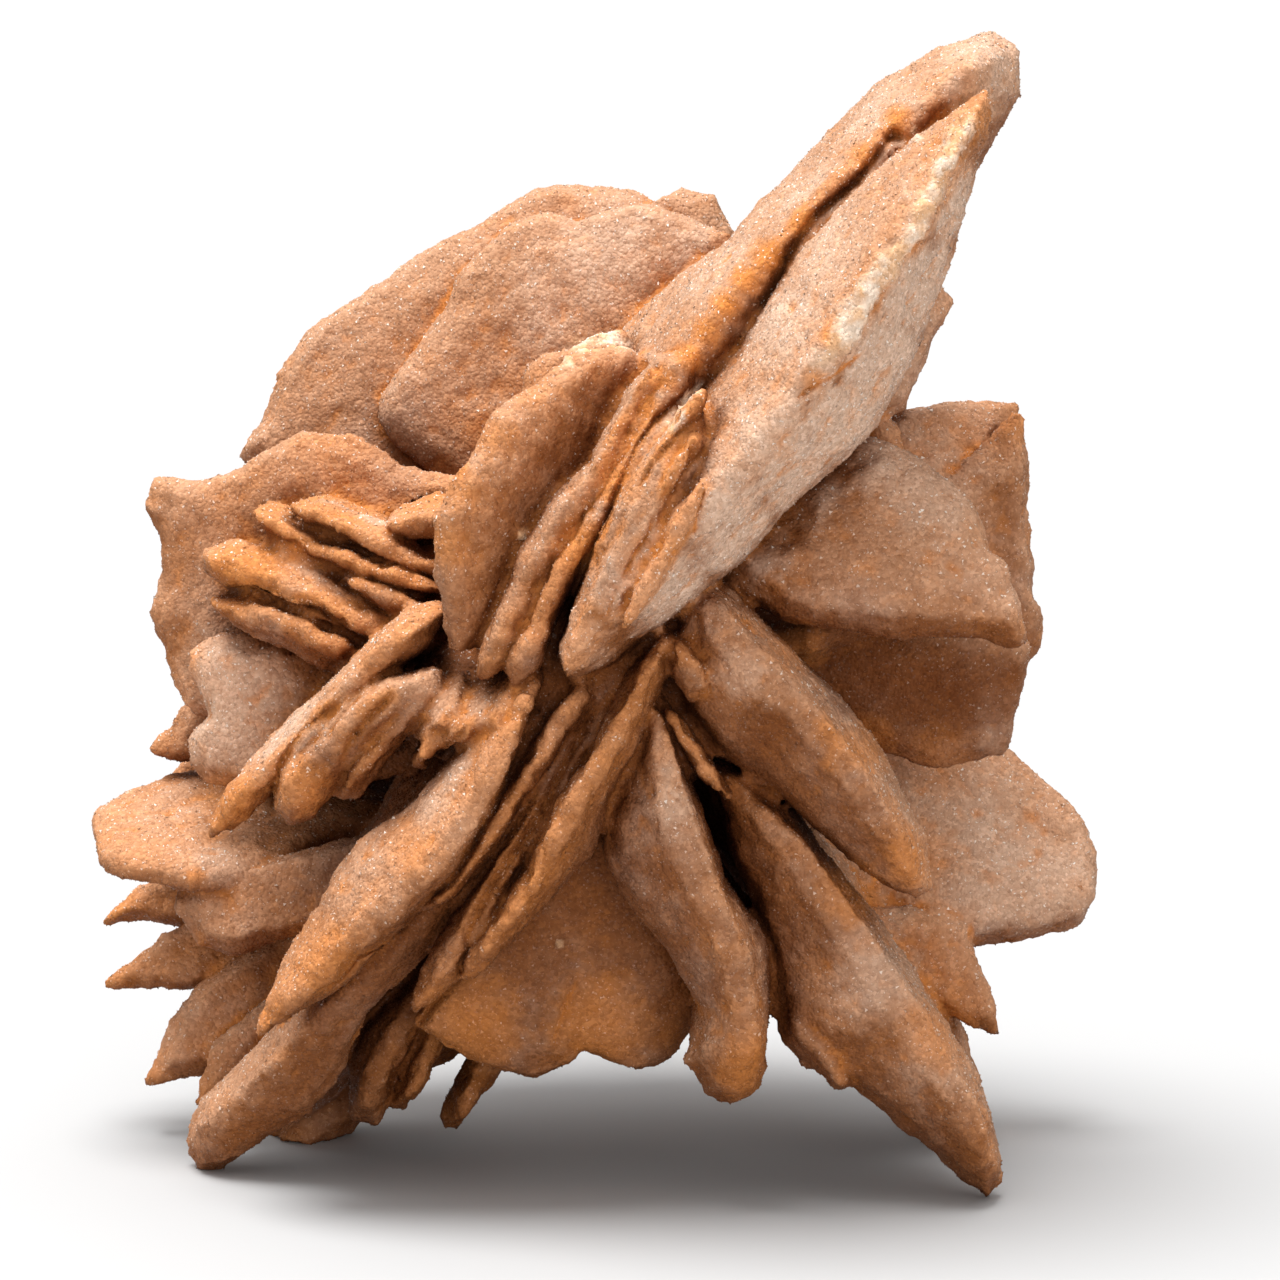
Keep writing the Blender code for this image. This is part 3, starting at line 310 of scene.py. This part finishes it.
def narrowed(values, mesh, rounds):  # each place takes the least value found around it
    ends = edgesOf(mesh)[0]
    least = values.copy()
    for _ in range(rounds):
        before = least.copy()
        np.minimum.at(least, ends[:, 0], before[ends[:, 1]])
        np.minimum.at(least, ends[:, 1], before[ends[:, 0]])
    return least


def rimShare(depth, mesh, rounds):  # 1 on a thin rim and around it, 0 where the rose is thick
    widen, soften = rounds
    low, high = body["thin"]
    thickness = spread(narrowed(depth, mesh, widen), mesh, soften) / mm
    return np.clip((high - thickness) / (high - low), 0.0, 1.0)


def outstanding(mesh, rounds):  # how far each place stands out from a smoothed form, in millimetres
    co = places(mesh)
    ends, count = edgesOf(mesh)
    kept = body["kept"]
    soft = co.copy()
    for _ in range(rounds):
        soft = kept * soft + (1.0 - kept) * neighbourMean(soft, ends, count)
    return ((co - soft) * normals(mesh)).sum(1) / mm


def rippled(co, name):  # one kind of unevenness at each place
    spacing, octaves, start, height, (least, most) = ripples[name]
    offset = Vector((start, start * 1.7, -start))
    found = np.array([
        noise.fractal(Vector(p) / (spacing * mm) + offset, 0.9, 2.0, octaves) for p in co
    ])
    return np.clip(found, least, most) * height


def frontView(co):  # x and h of each place, the way from the eye to it, how far that is, the eye
    back = np.array(toEye)
    up = np.array([0.0, math.sin(rise), math.cos(rise)])
    eye = np.array(sight["target"]) + back * sight["distance"]
    ray = co / mm - eye
    off = ray @ -back
    x = ray[:, 0] * sight["distance"] / off + sight["zero"][0]
    h = (ray @ up) * sight["distance"] / off + sight["zero"][1]
    far = np.linalg.norm(ray, axis=1)
    return x, h, ray / far[:, None], far, eye


def seenFromFront(mesh, tree):  # 1 where the front view shows the place, else 0
    co = places(mesh)
    way, far, eye = frontView(co)[2:]
    start = Vector(eye * mm)
    shown = np.zeros(len(co))
    for i, (ray, length) in enumerate(zip(way, far)):
        hit = tree.ray_cast(start, Vector(ray))
        if hit[3] is None or hit[3] / mm > length - sight["slack"]:
            shown[i] = 1.0
    return shown


def around(points, x, h, shown, margin):  # the shown places that lie near a line
    low, high = np.min(points, 0) - margin, np.max(points, 0) + margin
    return np.flatnonzero(
        (shown > 0.5) & (x > low[0]) & (x < high[0]) & (h > low[1]) & (h < high[1]))


def along(x, h, right, left, points):  # 1 on the line, falling to 0 on both sides and at its ends
    depth = np.zeros(len(x))
    line = [Vector(p) for p in points]
    length = sum((b - a).length for a, b in zip(line, line[1:]))
    gone = 0.0
    for a, b in zip(line, line[1:]):
        run = b - a
        t = ((x - a.x) * run.x + (h - a.y) * run.y) / run.length_squared
        t = np.clip(t, 0.0, 1.0)
        dx, dh = x - a.x - t * run.x, h - a.y - t * run.y
        side = run.x * dh - run.y * dx
        width = np.where(side > 0.0, left, right)
        near = np.clip(1.0 - np.hypot(dx, dh) / width, 0.0, 1.0)
        s = (gone + t * run.length) / length
        taper = np.clip(np.minimum(s, 1.0 - s) * body["taper"], 0.0, 1.0)
        depth = np.maximum(depth, near * taper)
        gone += run.length
    return depth


def cracked(co, shown):  # how deep the splits go at each place
    x, h = frontView(co)[:2]
    depth = np.zeros(len(co))
    wander = rippled(co, "wander")
    for right, left, deep, points in splits:
        near = around(points, x, h, shown, body["margins"][0])
        found = along(x[near] + wander[near], h[near] + wander[near], right, left, points)
        depth[near] = np.maximum(depth[near], found * deep)
    return depth


def crusted(co, shown):  # how much crusted sugar lies at each place, from 0 to 1, and how high
    x, h = frontView(co)[:2]
    thick, heights = np.zeros(len(co)), np.zeros(len(co))
    fray = rippled(co, "fray")
    for width, height, points in crusts:
        near = around(points, x, h, shown, body["margins"][1])
        found = along(x[near] + fray[near], h[near] - fray[near], width, width, points)
        found = np.minimum(found * 2.0, 1.0)  # a flat top
        thick[near] = np.maximum(thick[near], found)
        heights[near] = np.maximum(heights[near], found * height)
    return thick, heights


def spotted(co, shown, spots):  # round spots of the front view, fading towards their edges
    x, h = frontView(co)[:2]
    blur = rippled(co, "blur")
    total = np.zeros(len(co))
    for across, up, radius, strength in spots:
        off = np.hypot(x - across, h - up) / radius + blur
        total = np.maximum(total, np.clip(1.0 - off * off, 0.0, 1.0) * strength)
    return total * shown


def ledges(depth, swell, lumps):  # steps along lines of one thickness
    spacing, height = body["ledge"]
    withSwell, withLumps = body["bend"]
    ledge = (depth + swell * withSwell + lumps * withLumps) / spacing
    step = ledge - np.floor(ledge) - 0.5
    return (np.clip(step / body["brink"], -0.5, 0.5) - step) * height


def roughened(mesh):  # moves each place, and gives back which ones the front view shows
    co, no = places(mesh), normals(mesh)
    tree = treeOf(mesh)
    shown = seenFromFront(mesh, tree)
    depth = reach(mesh, tree, -1.0, body["deepest"][0])
    rounds = body["rim"][0]
    rim = rimShare(depth, mesh, rounds)
    swell, lumps = rippled(co, "swell"), rippled(co, "lumps")
    steps = ledges(spread(depth, mesh, rounds[1]) / mm, swell, lumps) * (1.0 - rim)
    smoothing, begins, growth = body["edge"]
    edge = np.clip((outstanding(mesh, smoothing) - begins) / growth, 0.0, 1.0)
    nibble = (rippled(co, "nibble") + body["puff"]) * rim + rippled(co, "notches") * edge
    move = swell * (1.0 - body["still"] * rim) + lumps + rippled(co, "crust") + nibble + steps
    furthest, soften, wide = body["gap"]
    gap = spread(reach(mesh, tree, 1.0, furthest), mesh, soften) / mm
    room = np.clip(gap / wide, 0.0, 1.0)
    move = np.where(move > 0.0, move * room, move) - body["retreat"] * (1.0 - room)
    move += crusted(co, shown)[1] * (body["crumbs"] + rippled(co, "crumbs"))
    dent = cracked(co, shown) + spotted(co, shown, pits)
    way = frontView(co)[2]
    co = co + no * (move * mm)[:, None] + way * (dent * mm)[:, None]
    co[:, 2] = np.maximum(co[:, 2], 0.0)
    setPlaces(mesh, co)
    return shown


def store(mesh, name, values):
    layer = mesh.attributes.new(name, "FLOAT", "POINT")
    layer.data.foreach_set("value", values.astype(np.float32))


def stored(mesh, name):
    values = np.empty(len(mesh.vertices), np.float32)
    mesh.attributes[name].data.foreach_get("value", values)
    return values


def raysAbove():  # ways over a half sphere, closest together around its top
    dice = random.Random(measure["seed"])
    ways = []
    for i in range(measure["rays"]):
        z = math.sqrt((i + 0.5) / measure["rays"])
        turn = i * measure["turn"] + dice.uniform(-measure["shake"], measure["shake"])
        flat = math.sqrt(1.0 - z * z)
        ways.append((flat * math.cos(turn), flat * math.sin(turn), z))
    return np.array(ways)


def openness(mesh, tree):  # the free share of all ways out, and of those up
    co, no = places(mesh), normals(mesh)
    ways, furthest = raysAbove(), measure["furthest"] * mm
    side = np.cross(no, np.where(np.abs(no[:, :1]) < 0.8, (1.0, 0.0, 0.0), (0.0, 1.0, 0.0)))
    side /= np.linalg.norm(side, axis=1)[:, None]
    other = np.cross(no, side)
    free, sky = np.zeros(len(co)), np.zeros(len(co))
    for i in range(len(co)):
        start = Vector(co[i] + no[i] * measure["start"] * mm)
        turned = ways[:, :1] * side[i] + ways[:, 1:2] * other[i] + ways[:, 2:] * no[i]
        for way in turned:
            hit = tree.ray_cast(start, Vector(way), furthest)
            clear = 1.0 if hit[3] is None else measure["wall"] * hit[3] / furthest
            free[i] += clear
            sky[i] += clear * max(way[2], 0.0)
    return free / len(ways), sky / len(ways) * measure["level"]


def crests(mesh):  # above a half where the surface stands out, below a half where it dips
    smoothing, soften, strength = measure["crest"]
    height = spread(outstanding(mesh, smoothing), mesh, soften)
    return np.clip(0.5 + height * strength, 0.0, 1.0)


def triangleCount(mesh):
    return sum(len(p.vertices) - 2 for p in mesh.polygons)


def thinned(piece, shown):  # fewer triangles, first where the front view doesn't look
    total = triangleCount(piece.data)
    behind = total * float((shown < 0.5).mean())
    for name, side in (("behind", shown < 0.5), ("front", shown > 0.5)):
        piece.vertex_groups.new(name=name).add(np.flatnonzero(side).tolist(), 1.0, "REPLACE")
    for name, target in (("behind", total - behind + body["behind"]), ("front", body["triangles"])):
        thinner = piece.modifiers.new("fewer", "DECIMATE")
        thinner.vertex_group = name
        thinner.ratio = min(target / triangleCount(piece.data), 1.0)
        applied(piece)
        print("triangles", triangleCount(piece.data))
    piece.vertex_groups.clear()


def measured(mesh):  # everything that the colours need
    tree = treeOf(mesh)
    depth = reach(mesh, tree, -1.0, body["deepest"][1])
    free, sky = openness(mesh, tree)
    co = places(mesh)
    shown = seenFromFront(mesh, tree)
    nearly = spread(shown, mesh, measure["shownSoft"])
    store(mesh, "thin", rimShare(depth, mesh, body["rim"][1]))
    store(mesh, "open", spread(free, mesh, measure["openSoft"]))
    store(mesh, "sky", spread(sky, mesh, measure["skySoft"]))
    store(mesh, "crest", crests(mesh))
    store(mesh, "sugar", crusted(co, shown)[0])
    for name, spots in (("orangeSpot", orangeSpots), ("lightAndPowderSpot", lightAndPowderSpots), ("paintedShade", paintedShadeSpots)):
        store(mesh, name, spotted(co, nearly, spots))
    store(mesh, "front", shown)
    store(mesh, "tint", np.full(len(co), 0.5))


def roseBody():
    piece = freshMesh("roseBody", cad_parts["sand_rose"])
    remesh = piece.modifiers.new("fine", "REMESH")
    remesh.mode = "VOXEL"
    remesh.voxel_size = body["voxel"] * mm
    applied(piece)
    print("fine mesh", len(piece.data.vertices))
    settled(piece.data)
    shown = roughened(piece.data)
    print("surface roughened")
    thinned(piece, shown)
    measured(piece.data)
    for face in piece.data.polygons:
        face.use_smooth = True
    print("rims and hollows measured")
    return piece


# Sand and sugar grains that sit in the surface, in millimetres
grains = {
    "size": (0.035, 0.10, 2.2),  # the smallest and the largest, and how much rarer large ones are
    "shape": (1.1, 1.6),         # a grain's radius and height, in sizes
    "stretch": (0.7, 1.3),       # how narrow or wide that radius is made
    "sunk": 0.40,                # about how much of a grain is below the surface
    "lean": 0.55,                # how far the grains lean
    "facing": 0.30,              # how far their corners' shading turns from the surface's
    "pieces": 5,
    "perPiece": 49000,
    "frontShare": 2.2,           # how much closer they are set where the front view shows them
    "seed": 12,
}


def unit(ways):
    return ways / np.linalg.norm(ways, axis=-1)[..., None]


def scatteredPlaces(mesh, count, dice):  # where the grains sit, which way is out, and the marks
    mesh.calc_loop_triangles()
    corners = np.empty(len(mesh.loop_triangles) * 3, np.int32)
    mesh.loop_triangles.foreach_get("vertices", corners)
    corners = corners.reshape(-1, 3)
    co, no = places(mesh), normals(mesh)
    a, b, c = (co[corners[:, k]] for k in range(3))
    area = np.linalg.norm(np.cross(b - a, c - a), axis=1)
    area *= 1.0 + (grains["frontShare"] - 1.0) * stored(mesh, "front")[corners].mean(1)
    chosen = dice.choice(len(area), count, p=area / area.sum())
    u, v = dice.random(count), dice.random(count)
    over = u + v > 1.0
    u[over], v[over] = 1.0 - u[over], 1.0 - v[over]
    share = np.stack([1.0 - u - v, u, v], axis=1)
    picked = corners[chosen]
    at = (co[picked] * share[:, :, None]).sum(1)
    up = unit((no[picked] * share[:, :, None]).sum(1))
    return at, up, {name: (stored(mesh, name)[picked] * share).sum(1) for name in marks}


def grainShape():
    radius, height = grains["shape"]
    form = bmesh.new()
    bmesh.ops.create_cone(form, cap_ends=True, cap_tris=False, segments=3, radius1=radius,
                          radius2=0.0, depth=height)
    bmesh.ops.triangulate(form, faces=form.faces)
    bmesh.ops.remove_doubles(form, verts=form.verts, dist=0.001)
    bmesh.ops.recalc_face_normals(form, faces=form.faces)
    form.verts.ensure_lookup_table()
    corners = np.array([v.co for v in form.verts])
    faces = np.array([[v.index for v in f.verts] for f in form.faces])
    form.free()
    return corners, faces


def grainPiece(name, mesh, seed):  # all its grains are one mesh
    dice = np.random.default_rng(seed)
    count = grains["perPiece"]
    at, up, found = scatteredPlaces(mesh, count, dice)
    corners, faces = grainShape()
    small, large, rarer = grains["size"]
    size = small + (large - small) * dice.random(count) ** rarer
    lean = unit(up + dice.normal(0.0, grains["lean"], (count, 3)))
    side = unit(np.cross(lean, dice.normal(0.0, 1.0, (count, 3))))
    other = np.cross(lean, side)
    stretch = dice.uniform(*grains["stretch"], (count, 2))
    x = corners[None, :, 0:1] * (side * stretch[:, :1])[:, None, :]
    y = corners[None, :, 1:2] * (other * stretch[:, 1:])[:, None, :]
    z = corners[None, :, 2:3] * lean[:, None, :]
    raised = up * (1.0 - 2.0 * grains["sunk"]) * 0.5
    co = at[:, None, :] + (x + y + z + raised[:, None, :]) * (size * mm)[:, None, None]
    co[:, :, 2] = np.maximum(co[:, :, 2], 0.0)
    made = bpy.data.meshes.new(name)
    made.vertices.add(count * len(corners))
    made.vertices.foreach_set("co", co.astype(np.float32).ravel())
    allFaces = (faces[None] + (np.arange(count) * len(corners))[:, None, None]).reshape(-1, 3)
    made.loops.add(allFaces.size)
    made.loops.foreach_set("vertex_index", allFaces.astype(np.int32).ravel())
    made.polygons.add(len(allFaces))
    made.polygons.foreach_set("loop_start", np.arange(0, allFaces.size, 3, dtype=np.int32))
    made.update(calc_edges=True)
    made.validate()
    facing = unit(up[:, None, :] + dice.normal(0.0, grains["facing"], (count, len(corners), 3)))
    made.normals_split_custom_set_from_vertices(facing.reshape(-1, 3).tolist())
    for mark, values in found.items():
        store(made, mark, np.repeat(values, len(corners)))
    store(made, "tint", np.repeat(dice.random(count), len(corners)))
    piece = bpy.data.objects.new(name, made)
    bpy.context.scene.collection.objects.link(piece)
    return piece


def node(tree, kind, at=(0, 0), **values):
    made = tree.nodes.new(kind)
    made.location = at
    for key, value in values.items():
        if hasattr(made, key):
            setattr(made, key, value)
        else:
            made.inputs[key].default_value = value
    return made


def linked(tree, socket, value):
    if isinstance(value, bpy.types.NodeSocket):
        tree.links.new(value, socket)
    elif isinstance(value, tuple):
        socket.default_value = (*value, 1.0)
    else:
        socket.default_value = value


def ramp(tree, factor, stops):
    made = node(tree, "ShaderNodeValToRGB")
    row = made.color_ramp.elements
    while len(row) < len(stops):
        row.new(0.5)
    for element, (place, colour) in zip(row, stops):
        element.position = place
        element.color = (*colour, 1.0)
    linked(tree, made.inputs["Fac"], factor)
    return made.outputs["Color"]


def mixed(tree, factor, a, b, kind="MIX"):
    made = node(tree, "ShaderNodeMix", data_type="RGBA", blend_type=kind)
    for number, value in ((0, factor), (6, a), (7, b)):  # 6 and 7 are its colours
        linked(tree, made.inputs[number], value)
    return made.outputs[2]


def maths(tree, kind, a, b):
    made = node(tree, "ShaderNodeMath", operation=kind)
    linked(tree, made.inputs[0], a)
    linked(tree, made.inputs[1], b)
    return made.outputs[0]


# The colours of the rose
colours = {
    "tan": (0.34, 0.126, 0.042),
    "mauve": (0.34, 0.150, 0.076),
    "pale": (0.56, 0.300, 0.172),    # painted light: where light from above falls, and on ridges
    # whitish powder, also used as painted light where spots brighten shaded faces
    "powderAndPaintedLight": (0.72, 0.515, 0.385),
    # amber: for streaks of colour, and for the painted glow on thin rims and the painted warm shade
    # in dips
    "amber": (0.60, 0.208, 0.046),
    # painted shade: umber for shaded places, under things and in hollows; deep for the darkest
    # crevices
    "paintedShadeUmber": (0.15, 0.042, 0.009),
    "deep": (0.040, 0.010, 0.003),
    "cream": (0.84, 0.50, 0.27),
    "white": (0.95, 0.88, 0.78),
}

# How they lie on it
gypsum = {
    # scale and detail of the clouds of colour, and their roughness
    "patches": (170.0, 3.0),
    "streaks": (620.0, 4.0),
    "dents": (1900.0, 3.0),
    "cloud": 0.6,
    "sand": 5400.0,    # scale of the single grains in the colour
    # where a colour is nothing, where it is full, and how strong it then is
    "mauve": (0.38, 0.62, 1.0),
    # lit: faces that light from above reaches are painted paler, a painted light with streaks and
    # sand in it
    "lit": (0.42, 0.95, 0.9),
    # ridges: paler on crests, partly frost and partly a painted highlight
    "ridges": (0.54, 0.95, 0.55),
    "haze": (0.45, 0.75, 0.35),
    "powderAndPaintedLight": (0.42, 1.0, 0.66),
    "veins": (0.52, 0.72, 0.45),
    # dips: amber where the surface dips, a painted warm shade
    "dips": (0.47, 0.10, 0.9),
    # shade: painted shade, umber where little of the surroundings is open
    "shade": (0.76, 0.38, 0.9),
    # below: painted shade, umber where little light from above reaches
    "below": (0.38, 0.03, 0.8),
    # hollows: the darkest painted shade, in deep crevices
    "hollows": (0.42, 0.10, 1.0),
    "frost": (0.46, 0.62, 0.55),
    # painted glints: some grains turn white where the faces are painted lit
    "glintGrains": (0.70, 0.95, 1.0),
    "glintWhereLit": (0.35, 0.95, 0.8),
    # shares of the marks and clouds that are added up
    # spotShareLit: the spots' share in the painted light
    "spotShareLit": 0.45,
    "streaksLit": 0.4,
    "sandLit": 0.12,
    "spotSharePowder": 0.8,
    "streaksDust": 0.7,
    # rims: thin rims made amber, a painted glow of light shining through them
    "rims": 0.70,
    # orangeSpotOverShade: orange spots laid again over the painted shade of the hollows
    "orangeSpotOverShade": 0.5,
    "sugar": 0.75,
    # brightness of darker and lighter grains, in the body's colour and in the pieces of grains
    "bodyShades": ((0.0, (0.84, 0.81, 0.78)), (0.35, (0.97, 0.96, 0.95)),
                   (0.7, (1.04, 1.04, 1.04)), (0.95, (1.22, 1.26, 1.30))),
    "grainShades": ((0.0, (1.0, 1.0, 1.0)), (0.7, (1.18, 1.22, 1.26)),
                    (0.95, (1.45, 1.60, 1.78))),
    # roughness and shine of both
    "bodyFinish": (0.72, 0.12),
    "grainFinish": (0.34, 0.35),
    # strength and depth in millimetres of the bump, from the dents and from the sand
    "dentBump": (0.8, 0.22),
    "sandBump": (0.8, 0.08),
}


def setFinish(shader, roughness, shine):
    shader.inputs["Roughness"].default_value = roughness
    shader.inputs["Specular IOR Level"].default_value = shine


def sandyGypsum(name, ownGrain):  # ownGrain: each grain has its own tint, else the sand in the noise
    skin = bpy.data.materials.new(name)
    skin.use_nodes = True
    tree = skin.node_tree
    shader = tree.nodes["Principled BSDF"]
    spot = node(tree, "ShaderNodeTexCoord", (-1600, 0)).outputs["Object"]
    mark = {}
    for number, word in enumerate((*marks, "tint")):
        found = node(tree, "ShaderNodeAttribute", (-1600, -200 - 150 * number),
                     attribute_name=word)
        mark[word] = found.outputs["Fac"]

    def cloud(kind, at):
        scale, detail = gypsum[kind]
        made = node(tree, "ShaderNodeTexNoise", at, Scale=scale, Detail=detail,
                    Roughness=gypsum["cloud"])
        tree.links.new(spot, made.inputs["Vector"])
        return made.outputs["Fac"]

    def share(kind, factor):
        none, full, most = gypsum[kind]
        return ramp(tree, factor, sorted(((none, (0.0, 0.0, 0.0)), (full, (most, most, most)))))

    def part(kind, factor):
        return maths(tree, "MULTIPLY", factor, gypsum[kind])

    def added(first, *others):
        for other in others:
            first = maths(tree, "ADD", first, other)
        return first

    def bump(kind, height, at):
        strength, depth = gypsum[kind]
        made = node(tree, "ShaderNodeBump", at, Strength=strength, Distance=depth * mm)
        tree.links.new(height, made.inputs["Height"])
        return made

    patches = cloud("patches", (-1350, 400))
    streaks = cloud("streaks", (-1350, 200))
    sand = node(tree, "ShaderNodeTexVoronoi", (-1350, -100), Scale=gypsum["sand"], Randomness=1.0)
    tree.links.new(spot, sand.inputs["Vector"])
    pick = node(tree, "ShaderNodeSeparateColor", (-1150, -100))
    tree.links.new(sand.outputs["Color"], pick.inputs[0])

    lightAndPowderSpot = part("spotShareLit", mark["lightAndPowderSpot"])
    # lit: painted light from above, with streaks, spots and sand added
    lit = added(mark["sky"], part("streaksLit", streaks), lightAndPowderSpot, part("sandLit", pick.outputs[1]))
    # powder in patches and streaks, and painted light from the spots
    dustAndPaintedLight = added(part("spotSharePowder", mark["lightAndPowderSpot"]), part("streaksDust", streaks),
                 share("haze", patches))
    frost = maths(tree, "MULTIPLY", mark["sugar"], share("frost", streaks))
    base = mixed(tree, share("mauve", patches), colours["tan"], colours["mauve"])
    for factor, colour in (
            # paler where lit from above: painted light
            (share("lit", lit), "pale"),
            (share("ridges", mark["crest"]), "pale"),
            (share("powderAndPaintedLight", dustAndPaintedLight), "powderAndPaintedLight"),
            # amber on thin rims: painted glow of light through them
            (part("rims", mark["thin"]), "amber"),
            (share("veins", streaks), "amber"),
            (share("dips", mark["crest"]), "amber"),
            # painted shade in crevices and hollows
            (share("shade", mark["open"]), "paintedShadeUmber"),
            (share("below", added(mark["sky"], lightAndPowderSpot)), "paintedShadeUmber"),
            # painted shade spots
            (mark["paintedShade"], "paintedShadeUmber"),
            # orange spots, in part painted glow
            (mark["orangeSpot"], "amber"),
            (share("hollows", mark["open"]), "deep"),
            (part("orangeSpotOverShade", mark["orangeSpot"]), "amber"),
            (part("sugar", mark["sugar"]), "cream"),
            (frost, "white")):
        base = mixed(tree, factor, base, colours[colour])

    if ownGrain:
        shades = ramp(tree, mark["tint"], gypsum["grainShades"])
        base = mixed(tree, 1.0, base, shades, "MULTIPLY")
        # painted glints: white grains only where the painted light is
        clear = maths(tree, "MULTIPLY", share("glintGrains", mark["tint"]), share("glintWhereLit", lit))
        base = mixed(tree, clear, base, colours["white"])
        setFinish(shader, *gypsum["grainFinish"])
    else:
        shades = ramp(tree, pick.outputs[0], gypsum["bodyShades"])
        base = mixed(tree, 1.0, base, shades, "MULTIPLY")
        setFinish(shader, *gypsum["bodyFinish"])
        soft = bump("dentBump", cloud("dents", (-700, -300)), (-400, -300))
        grit = bump("sandBump", sand.outputs["Distance"], (-200, -300))
        grit.invert = True
        tree.links.new(soft.outputs["Normal"], grit.inputs["Normal"])
        tree.links.new(grit.outputs["Normal"], shader.inputs["Normal"])
    tree.links.new(base, shader.inputs["Base Color"])
    return skin


def fit(piece, skin):
    piece.data.materials.clear()
    piece.data.materials.append(skin)
    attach(piece, "root")


# The floor and the light of a white photo tent
studio = {
    "floor": 3.0,                       # half its width, in metres
    "floorColour": (0.52, 0.52, 0.52),
    "floorFinish": (0.6, 0.2),          # roughness and shine
    "white": (1.0, 1.0, 1.0, 1.0),
    "backdrop": 1.0,                    # how bright the tent looks behind the rose
    "tent": (0.16, 1.90),               # the light of its darkest and brightest side
    "tentEdge": 0.36,                   # where the brighter side starts, as a cosine
    "tentSide": (-0.20, 0.12, 0.95),    # where its brightest side is
    # each lamp: power, how wide and soft it is in degrees, and how it is turned
    "lamps": {
        "above": (3.3, 34.0, (2.0, -9.0, 0.0)),
        "front": (1.25, 40.0, (82.0, 0.0, 16.0)),
    },
}


def makeFloor():
    form = bmesh.new()
    bmesh.ops.create_grid(form, x_segments=1, y_segments=1, size=studio["floor"])
    mesh = bpy.data.meshes.new("floor")
    form.to_mesh(mesh)
    form.free()
    floor = bpy.data.objects.new("floor", mesh)
    bpy.context.scene.collection.objects.link(floor)
    paper = bpy.data.materials.new("paper")
    paper.use_nodes = True
    shader = paper.node_tree.nodes["Principled BSDF"]
    shader.inputs["Base Color"].default_value = (*studio["floorColour"], 1.0)
    setFinish(shader, *studio["floorFinish"])
    mesh.materials.append(paper)


def makeTent():  # its light comes from one side, but the camera sees it evenly white
    world = bpy.data.worlds.new("tent")
    bpy.context.scene.world = world
    world.use_nodes = True
    tree = world.node_tree
    light = tree.nodes["Background"]
    light.inputs["Color"].default_value = studio["white"]
    side = node(tree, "ShaderNodeVectorMath", (-600, 0), operation="DOT_PRODUCT")
    tree.links.new(node(tree, "ShaderNodeTexCoord", (-800, 0)).outputs["Generated"],
                   side.inputs[0])
    side.inputs[1].default_value = studio["tentSide"]
    grow = node(tree, "ShaderNodeMapRange", (-400, 0))
    tree.links.new(side.outputs["Value"], grow.inputs["Value"])
    grow.inputs["From Min"].default_value = studio["tentEdge"]
    grow.inputs["To Min"].default_value, grow.inputs["To Max"].default_value = studio["tent"]
    tree.links.new(grow.outputs["Result"], light.inputs["Strength"])
    backdrop = node(tree, "ShaderNodeBackground", (0, -200), Strength=studio["backdrop"])
    backdrop.inputs["Color"].default_value = studio["white"]
    choice = node(tree, "ShaderNodeMixShader", (250, 0))
    tree.links.new(node(tree, "ShaderNodeLightPath").outputs["Is Camera Ray"], choice.inputs[0])
    tree.links.new(light.outputs[0], choice.inputs[1])
    tree.links.new(backdrop.outputs[0], choice.inputs[2])
    tree.links.new(choice.outputs[0], tree.nodes["World Output"].inputs["Surface"])


def makeLamps():
    for name, (power, angle, turn) in studio["lamps"].items():
        lamp = bpy.data.lights.new(name, "SUN")
        lamp.energy = power
        lamp.angle = math.radians(angle)
        item = bpy.data.objects.new(name, lamp)
        item.rotation_euler = [math.radians(a) for a in turn]
        bpy.context.scene.collection.objects.link(item)


def makeCamera():
    lens = bpy.data.cameras.new("camera")
    lens.sensor_width = sight["sensor"]
    lens.lens = sight["sensor"] * sight["distance"] / sight["height"]
    lens.clip_start = sight["nearest"]
    camera = bpy.data.objects.new("camera", lens)
    back = Vector(toEye)
    camera.location = (Vector(sight["target"]) + back * sight["distance"]) * mm
    camera.rotation_euler = (-back).to_track_quat("-Z", "Y").to_euler()
    bpy.context.scene.collection.objects.link(camera)
    bpy.context.scene.camera = camera


makeCamera()
makeFloor()
makeTent()
makeLamps()
rose = roseBody()
fit(rose, sandyGypsum("sandyGypsum", False))
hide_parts("sand_rose")
grainSkin = sandyGypsum("sandGrains", True)
for number in range(grains["pieces"]):
    fit(grainPiece(f"grains{number + 1}", rose.data, grains["seed"] + number), grainSkin)
print("grains set")

bpy.context.scene.view_settings.view_transform = "Standard"
